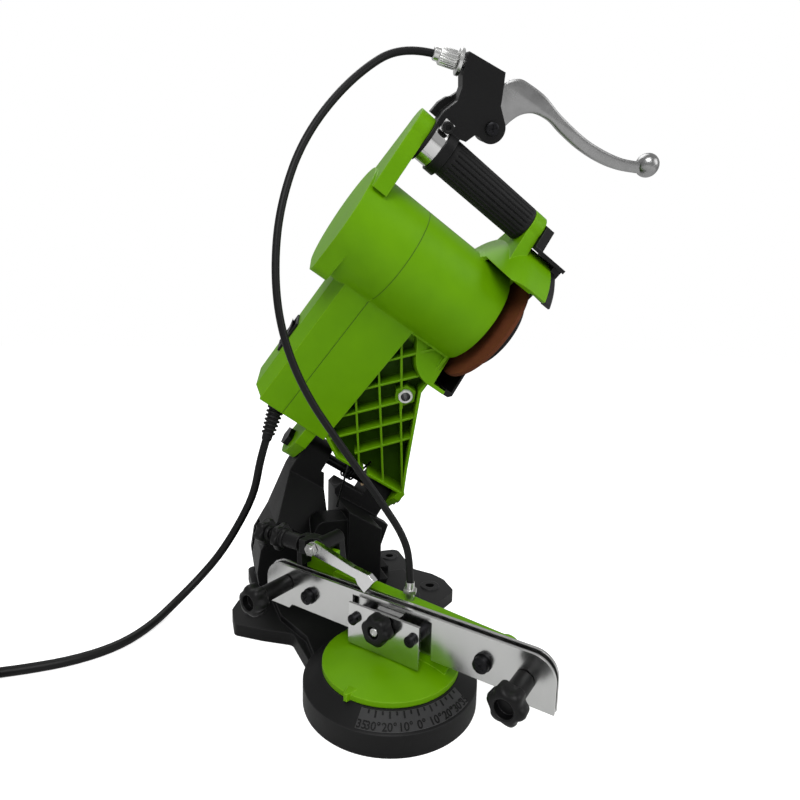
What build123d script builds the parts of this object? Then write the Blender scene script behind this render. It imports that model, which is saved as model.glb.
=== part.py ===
from build123d import *
import math
import os

os.makedirs("parts", exist_ok=True)

# Electric chainsaw sharpener. +X right, +Y back, +Z up, origin under the turntable's axis.
# Millimetres and degrees throughout.

# ---- where the main assemblies stand ----
head_tilt = 32.0        # the wheel's axis falls this much from level, towards the right
head_lean = 115.0       # the raised head's angle from level, seen along the wheel's axis
pivot_back = 188.7      # hinge behind the turntable's axis
pivot_rise = 40.9       # hinge above the crossing point, measured in the wheel's plane
cross_height = 68.0     # where the wheel's plane crosses the turntable's axis
reach = 193.6           # hinge to wheel axis
rail_swing = 53.0       # the turntable's turn away from square, clockwise from above

# ---- clearances ----
running = 0.05          # a shaft that turns or slides in its hole
easy = 0.4              # between parts that move past each other
loose = 0.15            # between pieces fixed together

tilt = math.radians(head_tilt)
lean = math.radians(head_lean)
swing = math.radians(rail_swing)
across_dir = Vector(math.cos(tilt), 0, -math.sin(tilt))
rise_dir = Vector(math.sin(tilt), 0, math.cos(tilt))
back_dir = Vector(0, 1, 0)
reach_dir = back_dir * math.cos(lean) + rise_dir * math.sin(lean)
front_dir = back_dir * -math.sin(lean) + rise_dir * math.cos(lean)
pivot = Vector(0, pivot_back, cross_height) + rise_dir * pivot_rise
rail_dir = Vector(math.cos(swing), -math.sin(swing), 0)
rail_normal = Vector(-math.sin(swing), -math.cos(swing), 0)


def head_point(a, s, q):
    """A point in the head: a across it, s from the hinge towards the wheel, q to the front."""
    return pivot + across_dir * a + reach_dir * s + front_dir * q


def across(a):
    """A plane square to the wheel's axis, drawn in (s, q)."""
    return Plane(origin=head_point(a, 0, 0), x_dir=reach_dir, z_dir=across_dir)


def facing(q):
    """A plane that faces the head's front, drawn in (a, s)."""
    return Plane(origin=head_point(0, 0, q), x_dir=across_dir, z_dir=front_dir)


def hinge_side(a):
    """A plane square to the hinge, drawn in (y, rise)."""
    return Plane(origin=Vector(0, 0, cross_height) + across_dir * a, x_dir=back_dir, z_dir=across_dir)


def rail_face(off):
    """A plane that faces the rail's front, drawn in (along, z)."""
    return Plane(origin=rail_normal * off, x_dir=rail_dir, z_dir=rail_normal)


def rail_section(along):
    """A plane square to the rail, drawn in (z, off)."""
    return Plane(origin=rail_dir * along, x_dir=(0, 0, 1), z_dir=rail_dir)


def disc(plane, radius, length, at=(0, 0), mode=Mode.ADD):
    """A round boss, pin or bore."""
    with BuildSketch(plane) as outline:
        with Locations(at):
            Circle(radius)
    extrude(outline.sketch, amount=length, mode=mode)


def hexagon(plane, radius, length, at=(0, 0), mode=Mode.ADD):
    """A six-sided nut or head; the radius is to its flats."""
    with BuildSketch(plane) as outline:
        with Locations(at):
            RegularPolygon(radius, 6, major_radius=False)
    extrude(outline.sketch, amount=length, mode=mode)


def block(plane, across_from, across_to, up_from, up_to, length, mode=Mode.ADD):
    """A rectangular block, drawn corner to corner."""
    with BuildSketch(plane) as outline:
        with Locations(((across_from + across_to) / 2, (up_from + up_to) / 2)):
            Rectangle(across_to - across_from, up_to - up_from)
    extrude(outline.sketch, amount=length, mode=mode)


def slab(plane, points, length, rounding=0.0, mode=Mode.ADD):
    """A plate with a straight-sided outline, its corners rounded alike."""
    with BuildSketch(plane) as outline:
        with BuildLine():
            Polyline(*points, close=True)
        make_face()
        if rounding:
            fillet(outline.vertices(), radius=rounding)
    extrude(outline.sketch, amount=length, mode=mode)


def lobed_knob(plane, radius, length, lobes=6):
    """A hand knob with a scalloped rim."""
    scallop = radius * 0.50
    with BuildSketch(plane) as outline:
        Circle(radius)
        with PolarLocations(radius * 1.36, lobes):
            Circle(scallop, mode=Mode.SUBTRACT)
    extrude(outline.sketch, amount=length)


def biarc(start, start_dir, end, end_dir):
    """Two tangent arcs from one point and direction to another."""
    chord = end - start
    both = start_dir + end_dir
    spread = 2 * (1 - start_dir.dot(end_dir))
    along = chord.dot(both)
    step = (-along + math.sqrt(along * along + spread * chord.dot(chord))) / spread
    middle = (start + start_dir * step + end - end_dir * step) * 0.5
    middle_dir = ((end - end_dir * step) - (start + start_dir * step)).normalized()
    TangentArc(start, middle, tangent=start_dir)
    TangentArc(middle, end, tangent=middle_dir)


def least_gap(points, thickness, apart):
    """Least clear gap between turns: points closer than `apart` along the wire are its own stretch."""
    gap = math.inf
    for i, one in enumerate(points):
        for other in points[i + apart:]:
            gap = min(gap, (one - other).length)
    return gap - thickness


# =====================================================================================
# Base plate: one casting with the round turntable seat, a neck and two drilled wings.
# =====================================================================================
seat_radius = 58.6
seat_rim = 14.6         # height of the seat's outer wall
ring_radius = 46.5      # where the sloping scale ring ends
seat_height = 22.5
wing_height = 10.0
deck_height = 15.0      # raised deck between the seat and the pivot column
base_back = 205.0
front_hole_x = 78.0
front_hole_y = 117.0
rear_hole_x = 63.0
rear_hole_y = 189.0
foot_hole_radius = 4.1
column_front = 118.0
left_front = 140.0      # the left upright stands further back
column_back = 203.0
spindle_radius = 4.0

wing_right = [
    (48, 32), (54, 75), (76, 88.5), (95.7, 103), (96, 126), (90, 140), (76, 156), (77, base_back),
]
wing_outline = [(0, -20), (48, -20)] + wing_right + [(-x, y) for x, y in reversed(wing_right)] + [(-48, -20)]

with BuildPart() as base_plate:
    with BuildSketch(Plane.XY) as wing_sketch:
        with BuildLine():
            Polyline(*wing_outline, close=True)
        make_face()
        fillet(wing_sketch.vertices().sort_by(Axis.Y)[3:], radius=7)
    extrude(amount=wing_height)
    with BuildSketch(Plane.XY):
        with BuildLine():
            Polyline((-44, 0), (44, 0), (46, 60), (60, 96), (64, column_front + 30), (-64, column_front + 30),
                     (-60, 96), (-46, 60), close=True)
        make_face()
    extrude(amount=deck_height)
    with BuildSketch(Plane.XZ):
        with BuildLine():
            Polyline((0, 0), (seat_radius, 0), (seat_radius, seat_rim), (ring_radius, seat_height),
                     (0, seat_height), close=True)
        make_face()
    revolve(axis=Axis.Z)
    # feet holes, with a low boss round each
    for x, y in ((front_hole_x, front_hole_y), (rear_hole_x, rear_hole_y)):
        disc(Plane.XY, foot_hole_radius + 4.5, wing_height + 1.0, at=(x, y))
        disc(Plane.XY, foot_hole_radius + 4.5, wing_height + 1.0, at=(-x, y))
        disc(Plane.XY, foot_hole_radius, deck_height * 2, at=(x, y), mode=Mode.SUBTRACT)
        disc(Plane.XY, foot_hole_radius, deck_height * 2, at=(-x, y), mode=Mode.SUBTRACT)
    # blind hole for the turntable's stud
    disc(Plane.XY.offset(5.0), spindle_radius + loose, seat_height, mode=Mode.SUBTRACT)
    # column screws come up from below through the base
    for x in (-40, 24):
        for y in (column_front + 22, column_back - 14):
            disc(Plane.XY, 2.5, deck_height, at=(x, y), mode=Mode.SUBTRACT)
            disc(Plane.XY, 5.0, 4.0, at=(x, y), mode=Mode.SUBTRACT)
base_plate.part.label = "base_plate"
export_step(base_plate.part, "parts/base_plate.step")

# =====================================================================================
# Pivot column: a casting with a tall left and a lower right upright, each ending in an
# ear round the sloping hinge pin.
# =====================================================================================
ear_radius = 15.0
pin_radius = 5.0
bush_radius = 7.0
left_ear_from = -58.0
left_ear_to = -32.0
right_ear_from = 16.0
right_ear_to = 40.0
lug_swing = 30.0        # radius that the head's lugs sweep beside the ears
saddle_height = 79.0
web_from = 124.0
web_to = 152.0

# front outlines of the uprights, (x, z); their sloping sides lie square to the hinge
left_upright = [(-71, wing_height), (-74, 32), (-71, 52), (-58, 74), (-34, 128), (-16, 158), (8, 138), (-9, 113),
                (-9, wing_height)]
right_upright = [(1.5, wing_height), (34, wing_height), (50, 56), (62, 74), (52, 110), (22, 110), (1.5, 92)]
# side outlines, (y, rise)
left_side = [(pivot_back - ear_radius, pivot_rise), (pivot_back - ear_radius, 16), (left_front, -22),
             (left_front, -120), (column_back, -120), (column_back, pivot_rise)]
right_side = [(pivot_back - ear_radius, pivot_rise), (pivot_back - ear_radius, 17), (column_front + 2, 17),
              (column_front + 2, -120), (column_back, -120), (column_back, pivot_rise)]


def upright(front, side, ear_from, ear_to):
    """The solid between a front outline and a side outline, with its ear."""
    with BuildPart() as solid:
        with BuildSketch(Plane.XZ.offset(-base_back)) as front_sketch:
            with BuildLine():
                Polyline(*front, close=True)
            make_face()
        extrude(front_sketch.sketch, amount=base_back - column_front)
        with BuildSketch(hinge_side(-160)) as side_sketch:
            with BuildLine():
                Polyline(*side, close=True)
            make_face()
            with Locations((pivot_back, pivot_rise)):
                Circle(ear_radius)
        extrude(side_sketch.sketch, amount=320, mode=Mode.INTERSECT)
        disc(across(ear_from), ear_radius, ear_to - ear_from)
    return solid.part


with BuildPart() as pivot_column:
    add(upright(left_upright, left_side, left_ear_from, left_ear_to))
    add(upright(right_upright, right_side, right_ear_from, right_ear_to))
    # trim whatever leans past the ears' faces
    with BuildSketch(across(left_ear_to)) as clear_left:
        with Locations((0, 0)):
            Circle(ear_radius + 4)
    extrude(clear_left.sketch, amount=right_ear_from - left_ear_to, mode=Mode.SUBTRACT)
    disc(across(left_ear_from - 30), ear_radius + 4, 30, mode=Mode.SUBTRACT)
    disc(across(right_ear_to), ear_radius + 4, 30, mode=Mode.SUBTRACT)
    # web in front of the left upright, with a rounded shoulder
    with BuildSketch(Plane.XZ.offset(-web_from)) as web_sketch:
        with BuildLine():
            Polyline((-27, wing_height), (8, wing_height), (8, saddle_height), (-27, saddle_height), close=True)
        make_face()
        fillet(web_sketch.vertices().sort_by(Axis.Y)[-2:].sort_by(Axis.X)[0], radius=9)
    extrude(web_sketch.sketch, amount=-(web_to - web_from))
    # foot along the deck
    block(Plane.XY.offset(deck_height), -52, 34, column_front + 8, 151, 7)
    block(Plane.XY.offset(wing_height), -50, 48, 148, column_back, 10)
    # the right upright's front is narrower than its back
    block(Plane.XY.offset(22), 31, 90, 0, 158, 66, mode=Mode.SUBTRACT)
    # room for the head's lugs to swing
    disc(across(left_ear_from - 30), lug_swing, 30 - easy, mode=Mode.SUBTRACT)
    disc(across(right_ear_to + 1), lug_swing, 30, mode=Mode.SUBTRACT)
    # clearance over the rear holes of the base
    for x, y in ((front_hole_x, front_hole_y), (rear_hole_x, rear_hole_y)):
        disc(Plane.XY, 11, 60, at=(x, y), mode=Mode.SUBTRACT)
        disc(Plane.XY, 11, 60, at=(-x, y), mode=Mode.SUBTRACT)
    # the casting is open to the back
    slab(Plane.XZ.offset(-column_back - 1), [(-48, 24), (-48, 66), (-15, 48), (-15, 24)],
         column_back - left_front - 9, mode=Mode.SUBTRACT)
    slab(Plane.XZ.offset(-column_back - 1), [(4, 24), (33, 24), (44, 55), (36, 58), (4, 72)],
         column_back - column_front - 11, mode=Mode.SUBTRACT)
    disc(across(left_ear_from), bush_radius, left_ear_to - left_ear_from, mode=Mode.SUBTRACT)
    disc(across(right_ear_from), bush_radius, right_ear_to - right_ear_from, mode=Mode.SUBTRACT)
    for x in (-40, 24):
        for y in (column_front + 22, column_back - 14):
            disc(Plane.XY.offset(wing_height), 2.1, 20, at=(x, y), mode=Mode.SUBTRACT)
    # the deck of the base fills the front of the foot
    block(Plane.XY, -90, 90, 0, 148, deck_height, mode=Mode.SUBTRACT)
pivot_column.part.label = "pivot_column"
export_step(pivot_column.part, "parts/pivot_column.step")

with BuildPart() as column_screws:
    for x in (-40, 24):
        for y in (column_front + 22, column_back - 14):
            disc(Plane.XY.offset(0.8), 4.6, 3.0, at=(x, y))
            disc(Plane.XY.offset(3.8), 2.0, 22.0, at=(x, y))
column_screws.part.label = "column_screws"
export_step(column_screws.part, "parts/column_screws.step")

# =====================================================================================
# Hinge: steel pin with a head and nut, sleeves in the ears and the lifting spring.
# =====================================================================================
left_lug_from = -70.0
left_lug_to = -59.0
right_lug_from = 42.0
right_lug_to = 49.0
pin_head = 5.0

with BuildPart() as pivot_pin:
    disc(across(left_lug_from), pin_radius, right_lug_to - left_lug_from + 10)
    hexagon(across(left_lug_from - pin_head), 8.0, pin_head)
pivot_pin.part.label = "pivot_pin"
export_step(pivot_pin.part, "parts/pivot_pin.step")

with BuildPart() as pivot_nut:
    hexagon(across(right_lug_to), 8.0, 6.5)
    disc(across(right_lug_to), pin_radius + running, 6.5, mode=Mode.SUBTRACT)
pivot_nut.part.label = "pivot_nut"
export_step(pivot_nut.part, "parts/pivot_nut.step")

with BuildPart() as left_sleeve:
    disc(across(left_ear_from), bush_radius, left_ear_to - left_ear_from)
    disc(across(left_ear_from), pin_radius + running, left_ear_to - left_ear_from, mode=Mode.SUBTRACT)
left_sleeve.part.label = "left_sleeve"
export_step(left_sleeve.part, "parts/left_sleeve.step")

with BuildPart() as right_sleeve:
    disc(across(right_ear_from), bush_radius, right_ear_to - right_ear_from)
    disc(across(right_ear_from), pin_radius + running, right_ear_to - right_ear_from, mode=Mode.SUBTRACT)
right_sleeve.part.label = "right_sleeve"
export_step(right_sleeve.part, "parts/right_sleeve.step")

# The lifting spring: one leg up the yoke's web, the other down to the column's saddle.
spring_wire = 2.0
spring_radius = 7.4
spring_pitch = 2.9
spring_start_a = 2.0
spring_start_angle = head_lean + 90
spring_end_angle = 135.0 + 360 * 4
spring_leg_up = 26.0
spring_leg_down = 53.0


def spring_point(angle):
    """A point of the spring's helix; the angle is in the hinge's cross-section."""
    turn = math.radians(angle)
    a = spring_start_a - spring_pitch * (angle - spring_start_angle) / 360
    return pivot + across_dir * a + (back_dir * math.cos(turn) + rise_dir * math.sin(turn)) * spring_radius


def spring_direction(angle):
    """The helix's direction there."""
    turn = math.radians(angle)
    around = (rise_dir * math.cos(turn) - back_dir * math.sin(turn)) * spring_radius
    return (around - across_dir * (spring_pitch / math.tau)).normalized()


quarter_count = round((spring_end_angle - spring_start_angle) / 90)
quarter_turn = (spring_end_angle - spring_start_angle) / quarter_count
with BuildPart() as torsion_spring:
    with BuildLine() as spring_path:
        first = spring_point(spring_start_angle)
        Line(first - spring_direction(spring_start_angle) * spring_leg_up, first)
        for quarter in range(quarter_count):
            angle = spring_start_angle + quarter * quarter_turn
            biarc(spring_point(angle), spring_direction(angle),
                  spring_point(angle + quarter_turn), spring_direction(angle + quarter_turn))
        last = spring_point(spring_end_angle)
        Line(last, last + spring_direction(spring_end_angle) * spring_leg_down)
    with BuildSketch(Plane(origin=spring_path.line @ 0, z_dir=spring_path.line % 0)):
        Circle(spring_wire / 2)
    sweep(path=spring_path.line)
torsion_spring.part.label = "torsion_spring"
export_step(torsion_spring.part, "parts/torsion_spring.step")
spring_samples = [spring_point(spring_start_angle + 5 * i)
                  for i in range(int((spring_end_angle - spring_start_angle) / 5))]
print("torsion spring: least gap between coils", round(least_gap(spring_samples, spring_wire, 40), 2), "mm")

# =====================================================================================
# Turntable: the green vise body turns on the base and carries the two rail plates.
# =====================================================================================
table_radius = 46.0
table_gap = 0.3
table_rim = 26.3
table_top = 32.4
rail_half = 113.0
rail_thickness = 2.0
chain_slot = 2.0
rail_top = 67.5
rail_bottom = 38.5
rail_corner = 14.0
front_face = 4.0                                  # front rail plate's outer face
front_back = front_face - rail_thickness
rear_face = front_back - chain_slot
rear_back = rear_face - rail_thickness
spine_back = -6.0
bar_back = -16.0
rail_screw_at = 69.0
rail_screw_z = 51.0
rail_screw_radius = 3.0
jaw_pin_radius = 2.0
jaw_pin_at = 7.0
jaw_pin_z = 52.0
bridge_screw_at = 22.5
bridge_screw_z = 52.0
bridge_screw_radius = 2.0
ferrule_at = 7.0
ferrule_off = -11.0
ferrule_radius = 3.0
ferrule_foot = 60.0
ferrule_top = 78.0
post_left = -84.0
post_right = -58.0
post_top = 81.9
post_depth = 7.0

with BuildPart() as vise_body:
    with BuildSketch(Plane.XZ):
        with BuildLine():
            Polyline((0, seat_height + table_gap), (table_radius, seat_height + table_gap),
                     (table_radius, table_rim))
            ThreePointArc((table_radius, table_rim), (30, 30.6), (12, table_top))
            Polyline((12, table_top), (0, table_top), (0, seat_height + table_gap))
        make_face()
    revolve(axis=Axis.Z)
    # pointer lobe towards the scale
    slab(Plane.XY.offset(seat_height + table_gap),
         [(rail_normal.X * 49 - rail_dir.X * 1.2, rail_normal.Y * 49 - rail_dir.Y * 1.2),
          (rail_normal.X * 49 + rail_dir.X * 1.2, rail_normal.Y * 49 + rail_dir.Y * 1.2),
          (rail_normal.X * 30 + rail_dir.X * 7, rail_normal.Y * 30 + rail_dir.Y * 7),
          (rail_normal.X * 30 - rail_dir.X * 7, rail_normal.Y * 30 - rail_dir.Y * 7)], 5.0)
    # spine behind the rails and the bar along its top
    slab(rail_face(spine_back), [(-84, 44), (-40, 42), (-36, 28), (40, 28), (46, 42), (86, 44), (86, 58),
                                 (-84, 60)], rear_back - spine_back)
    slab(rail_face(bar_back), [(-55, 58), (-40, 34), (-30, 28), (34, 28), (44, 36), (62, 48), (77, 48), (80, 54),
                               (77, 61), (-55, 70)], spine_back - bar_back)
    disc(rail_face(bar_back), 8.0, spine_back - bar_back, at=(77, 54))
    block(rail_face(bar_back), post_left, post_right, 44, 60, spine_back - bar_back)
    block(rail_face(bar_back), post_left, post_right, 60, post_top, post_depth)
    # bores
    disc(Plane.XY.offset(seat_height), spindle_radius + running, 20, mode=Mode.SUBTRACT)
    disc(Plane.XY.offset(table_top - 6.0), 8.6, 8.0, mode=Mode.SUBTRACT)
    for at in (-rail_screw_at, rail_screw_at):
        disc(rail_face(bar_back + 2), rail_screw_radius + loose, 20, at=(at, rail_screw_z), mode=Mode.SUBTRACT)
    for at in (-bridge_screw_at, bridge_screw_at):
        disc(rail_face(bar_back + 2), bridge_screw_radius + loose, 20, at=(at, bridge_screw_z), mode=Mode.SUBTRACT)
    disc(rail_face(bar_back), jaw_pin_radius + 0.6, 20, at=(jaw_pin_at, jaw_pin_z), mode=Mode.SUBTRACT)
    with BuildSketch(Plane.XY.offset(ferrule_foot)) as ferrule_hole:
        with Locations(rail_dir * ferrule_at + rail_normal * ferrule_off):
            Circle(ferrule_radius + loose)
    extrude(ferrule_hole.sketch, amount=20, mode=Mode.SUBTRACT)
vise_body.part.label = "vise_body"
export_step(vise_body.part, "parts/vise_body.step")

with BuildPart() as spindle_stud:
    disc(Plane.XY.offset(5.3), spindle_radius, table_top - 5.0)
spindle_stud.part.label = "spindle_stud"
export_step(spindle_stud.part, "parts/spindle_stud.step")

with BuildPart() as spindle_nut:
    hexagon(Plane.XY.offset(table_top - 5.7), 6.5, 5.0)
    disc(Plane.XY.offset(table_top - 5.7), spindle_radius + running, 5.0, mode=Mode.SUBTRACT)
spindle_nut.part.label = "spindle_nut"
export_step(spindle_nut.part, "parts/spindle_nut.step")

# End knobs: a threaded rod through both rail plates, at the left and at the right.
end_rod_radius = 4.0
left_rod_at = -92.0
left_rod_z = 54.5
right_rod_at = 95.0
right_rod_z = 50.0
notch_left = -30.0
notch_right = 33.0
notch_top = 64.0

rail_outline = [(-rail_half, 35), (-90, 35), (-87, rail_bottom), (notch_left, rail_bottom),
                (notch_left, notch_top), (notch_right, notch_top), (notch_right, rail_bottom), (87, rail_bottom),
                (90, 35), (rail_half, 35), (rail_half, rail_top), (-rail_half, rail_top)]
with BuildPart() as rail_front:
    with BuildSketch(rail_face(front_back)) as front_plate:
        with BuildLine():
            Polyline(*rail_outline, close=True)
        make_face()
        fillet(front_plate.vertices().group_by(Axis.Y)[-1], radius=rail_corner)
        with Locations((-rail_screw_at, rail_screw_z), (rail_screw_at, rail_screw_z)):
            Circle(rail_screw_radius + loose, mode=Mode.SUBTRACT)
        with Locations((left_rod_at, left_rod_z), (right_rod_at, right_rod_z)):
            Circle(end_rod_radius + running, mode=Mode.SUBTRACT)
    extrude(amount=rail_thickness)
rail_front.part.label = "rail_front"
export_step(rail_front.part, "parts/rail_front.step")

rear_outline = [(-rail_half, 35), (-90, 35), (-87, rail_bottom), (87, rail_bottom), (90, 35), (rail_half, 35),
                (rail_half, rail_top + 1.5), (-rail_half, rail_top + 1.5)]
with BuildPart() as rail_rear:
    with BuildSketch(rail_face(rear_back)) as rear_plate:
        with BuildLine():
            Polyline(*rear_outline, close=True)
        make_face()
        fillet(rear_plate.vertices().group_by(Axis.Y)[-1], radius=rail_corner)
        with Locations((-rail_screw_at, rail_screw_z), (rail_screw_at, rail_screw_z)):
            Circle(rail_screw_radius + loose, mode=Mode.SUBTRACT)
        with Locations((-bridge_screw_at, bridge_screw_z), (bridge_screw_at, bridge_screw_z)):
            Circle(bridge_screw_radius + loose, mode=Mode.SUBTRACT)
        with Locations((left_rod_at, left_rod_z), (right_rod_at, right_rod_z)):
            Circle(end_rod_radius + running, mode=Mode.SUBTRACT)
        with Locations((jaw_pin_at, jaw_pin_z)):
            Circle(jaw_pin_radius + running, mode=Mode.SUBTRACT)
    extrude(amount=rail_thickness)
rail_rear.part.label = "rail_rear"
export_step(rail_rear.part, "parts/rail_rear.step")

with BuildPart() as rail_spacers:
    for at in (-rail_screw_at, rail_screw_at):
        disc(rail_face(rear_face), 5.5, chain_slot, at=(at, rail_screw_z))
        disc(rail_face(rear_face), rail_screw_radius + loose, chain_slot, at=(at, rail_screw_z), mode=Mode.SUBTRACT)
rail_spacers.part.label = "rail_spacers"
export_step(rail_spacers.part, "parts/rail_spacers.step")

with BuildPart() as rail_screws:
    for at in (-rail_screw_at, rail_screw_at):
        disc(rail_face(bar_back + 3), rail_screw_radius, front_face - bar_back - 3, at=(at, rail_screw_z))
        disc(rail_face(front_face), 5.8, 1.2, at=(at, rail_screw_z))
        disc(rail_face(front_face + 1.2), 5.0, 3.2, at=(at, rail_screw_z))
        block(rail_face(front_face + 3.0), at - 3.2, at + 3.2, rail_screw_z - 0.8, rail_screw_z + 0.8, 2,
              mode=Mode.SUBTRACT)
        block(rail_face(front_face + 3.0), at - 0.8, at + 0.8, rail_screw_z - 3.2, rail_screw_z + 3.2, 2,
              mode=Mode.SUBTRACT)
rail_screws.part.label = "rail_screws"
export_step(rail_screws.part, "parts/rail_screws.step")

# Clamp bridge: a polished plate that stands off the notch and carries the clamp knob.
bridge_back = 9.0
bridge_thickness = 2.0
bridge_half = 28.0
clamp_knob_z = 54.0
clamp_screw_radius = 3.0
jaw_back = 2.3
jaw_thickness = 2.0
tab_reach = 8.6

with BuildPart() as clamp_bridge:
    block(rail_face(bridge_back), -bridge_half, bridge_half, 33, 62, bridge_thickness)
    disc(rail_face(bridge_back), clamp_screw_radius + running, bridge_thickness, at=(0, clamp_knob_z),
         mode=Mode.SUBTRACT)
    for at in (-bridge_screw_at, bridge_screw_at):
        disc(rail_face(bridge_back), bridge_screw_radius + loose, bridge_thickness, at=(at, bridge_screw_z),
             mode=Mode.SUBTRACT)
clamp_bridge.part.label = "clamp_bridge"
export_step(clamp_bridge.part, "parts/clamp_bridge.step")

with BuildPart() as bridge_spacers:
    for at in (-bridge_screw_at, bridge_screw_at):
        disc(rail_face(rear_face), 4.5, bridge_back - rear_face, at=(at, bridge_screw_z))
        disc(rail_face(rear_face), bridge_screw_radius + loose, bridge_back - rear_face, at=(at, bridge_screw_z),
             mode=Mode.SUBTRACT)
bridge_spacers.part.label = "bridge_spacers"
export_step(bridge_spacers.part, "parts/bridge_spacers.step")

with BuildPart() as bridge_screws:
    for at in (-bridge_screw_at, bridge_screw_at):
        disc(rail_face(bar_back + 4), bridge_screw_radius, bridge_back + bridge_thickness - bar_back - 4,
             at=(at, bridge_screw_z))
        disc(rail_face(bridge_back + bridge_thickness), 3.6, 2.6, at=(at, bridge_screw_z))
bridge_screws.part.label = "bridge_screws"
export_step(bridge_screws.part, "parts/bridge_screws.step")

with BuildPart() as clamp_knob:
    disc(rail_face(jaw_back + jaw_thickness + easy), clamp_screw_radius,
         bridge_back + bridge_thickness - jaw_back - jaw_thickness, at=(0, clamp_knob_z))
    knob_plane = Plane(origin=rail_face(bridge_back + bridge_thickness + easy).from_local_coords(
        (0, clamp_knob_z, 0)), x_dir=rail_dir, z_dir=rail_normal)
    lobed_knob(knob_plane, 10.5, 10.5)
    chamfer(clamp_knob.faces().sort_by(Axis(knob_plane.origin, rail_normal))[-1].edges(), 1.0)
    disc(knob_plane.offset(7.5), 4.0, 4.0, mode=Mode.SUBTRACT)
    hexagon(knob_plane.offset(7.5), 2.6, 2.0)
clamp_knob.part.label = "clamp_knob"
export_step(clamp_knob.part, "parts/clamp_knob.step")

# Chain jaw: slides back on its pin when the cable pulls, and has a folded tab on top.
with BuildPart() as chain_jaw:
    block(rail_face(jaw_back), -8.5, 12.0, 44, 63, jaw_thickness)
    block(rail_face(jaw_back), -8.5, 10.7, 59.5, 61.5, tab_reach - jaw_back)
    disc(rail_face(bar_back + 1), jaw_pin_radius, jaw_back - bar_back - 1, at=(jaw_pin_at, jaw_pin_z))
chain_jaw.part.label = "chain_jaw"
export_step(chain_jaw.part, "parts/chain_jaw.step")


def end_knob(at, height, knob_back, radius):
    """A threaded rod with a collar and a lobed knob that has a hollow end."""
    knob_length = 12.0
    disc(rail_face(-9), end_rod_radius, knob_back + 9, at=(at, height))
    disc(rail_face(front_face + easy), 6.0, knob_back - front_face - easy, at=(at, height))
    centre = rail_face(knob_back).from_local_coords((at, height, 0))
    knob_plane = Plane(origin=centre, x_dir=rail_dir, z_dir=rail_normal)
    disc(knob_plane.offset(-5.0), 7.0, 5.0)
    lobed_knob(knob_plane, radius, knob_length)
    disc(knob_plane.offset(knob_length - 4.0), radius * 0.5, 5.0, mode=Mode.SUBTRACT)


with BuildPart() as left_rail_knob:
    end_knob(left_rod_at, left_rod_z, 31.0, 11.5)
left_rail_knob.part.label = "left_rail_knob"
export_step(left_rail_knob.part, "parts/left_rail_knob.step")

with BuildPart() as right_rail_knob:
    end_knob(right_rod_at, right_rod_z, 23.0, 11.5)
right_rail_knob.part.label = "right_rail_knob"
export_step(right_rail_knob.part, "parts/right_rail_knob.step")

with BuildPart() as rail_nuts:
    for at, height in ((left_rod_at, left_rod_z), (right_rod_at, right_rod_z)):
        hexagon(rail_face(rear_back - 5.0), 6.5, 5.0, at=(at, height))
        disc(rail_face(rear_back - 5.0), end_rod_radius + running, 5.0, at=(at, height), mode=Mode.SUBTRACT)
rail_nuts.part.label = "rail_nuts"
export_step(rail_nuts.part, "parts/rail_nuts.step")

# Cable ferrule: a steel socket in the bar's top that holds the brake cable's end.
cable_radius = 2.5
cable_seat = 67.0
ferrule_foot_point = rail_dir * ferrule_at + rail_normal * ferrule_off + Vector(0, 0, ferrule_foot)
with BuildPart() as cable_ferrule:
    ferrule_plane = Plane(origin=ferrule_foot_point, z_dir=(0, 0, 1))
    disc(ferrule_plane, ferrule_radius, ferrule_top - ferrule_foot)
    hexagon(ferrule_plane.offset(70.5 - ferrule_foot), 4.2, 2.5)
    disc(ferrule_plane.offset(cable_seat - ferrule_foot), cable_radius + 0.1, 20, mode=Mode.SUBTRACT)
cable_ferrule.part.label = "cable_ferrule"
export_step(cable_ferrule.part, "parts/cable_ferrule.step")

# =====================================================================================
# Chain stop: a feed screw beside the rail moves an arm whose chrome pawl meets a tooth.
# =====================================================================================
screw_z = 88.0
screw_off = 2.0
screw_radius = 3.0
feed_knob_at = -116.0
lock_knob_at = -100.0
bracket_right = -79.5
boss_at = -66.0
boss_z = 88.0
boss_radius = 5.8
boss_front = 0.0
boss_back = -24.0
pawl_bolt_radius = 2.5
socket_from = -77.5       # the feed screw's tip turns in a socket of the arm
socket_depth = 3.5

with BuildPart() as stop_bracket:
    disc(rail_section(lock_knob_at + 6.5), 6.0, bracket_right - lock_knob_at - 6.5, at=(screw_z, screw_off))
    block(rail_face(bar_back + post_depth), post_left, bracket_right, rail_top + 3, screw_z + 4,
          screw_off - bar_back - post_depth)
    disc(rail_section(lock_knob_at + 6), screw_radius + running, 30, at=(screw_z, screw_off), mode=Mode.SUBTRACT)
stop_bracket.part.label = "stop_bracket"
export_step(stop_bracket.part, "parts/stop_bracket.step")

with BuildPart() as feed_screw:
    disc(rail_section(feed_knob_at), screw_radius, socket_from + socket_depth - 0.3 - feed_knob_at, at=(screw_z, screw_off))
    feed_plane = Plane(origin=rail_section(feed_knob_at - 4).from_local_coords((screw_z, screw_off, 0)),
                       x_dir=(0, 0, 1), z_dir=rail_dir)
    lobed_knob(feed_plane, 10.5, 8.0)
    disc(feed_plane.offset(7.5), 5.5, 2.5)
feed_screw.part.label = "feed_screw"
export_step(feed_screw.part, "parts/feed_screw.step")

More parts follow.
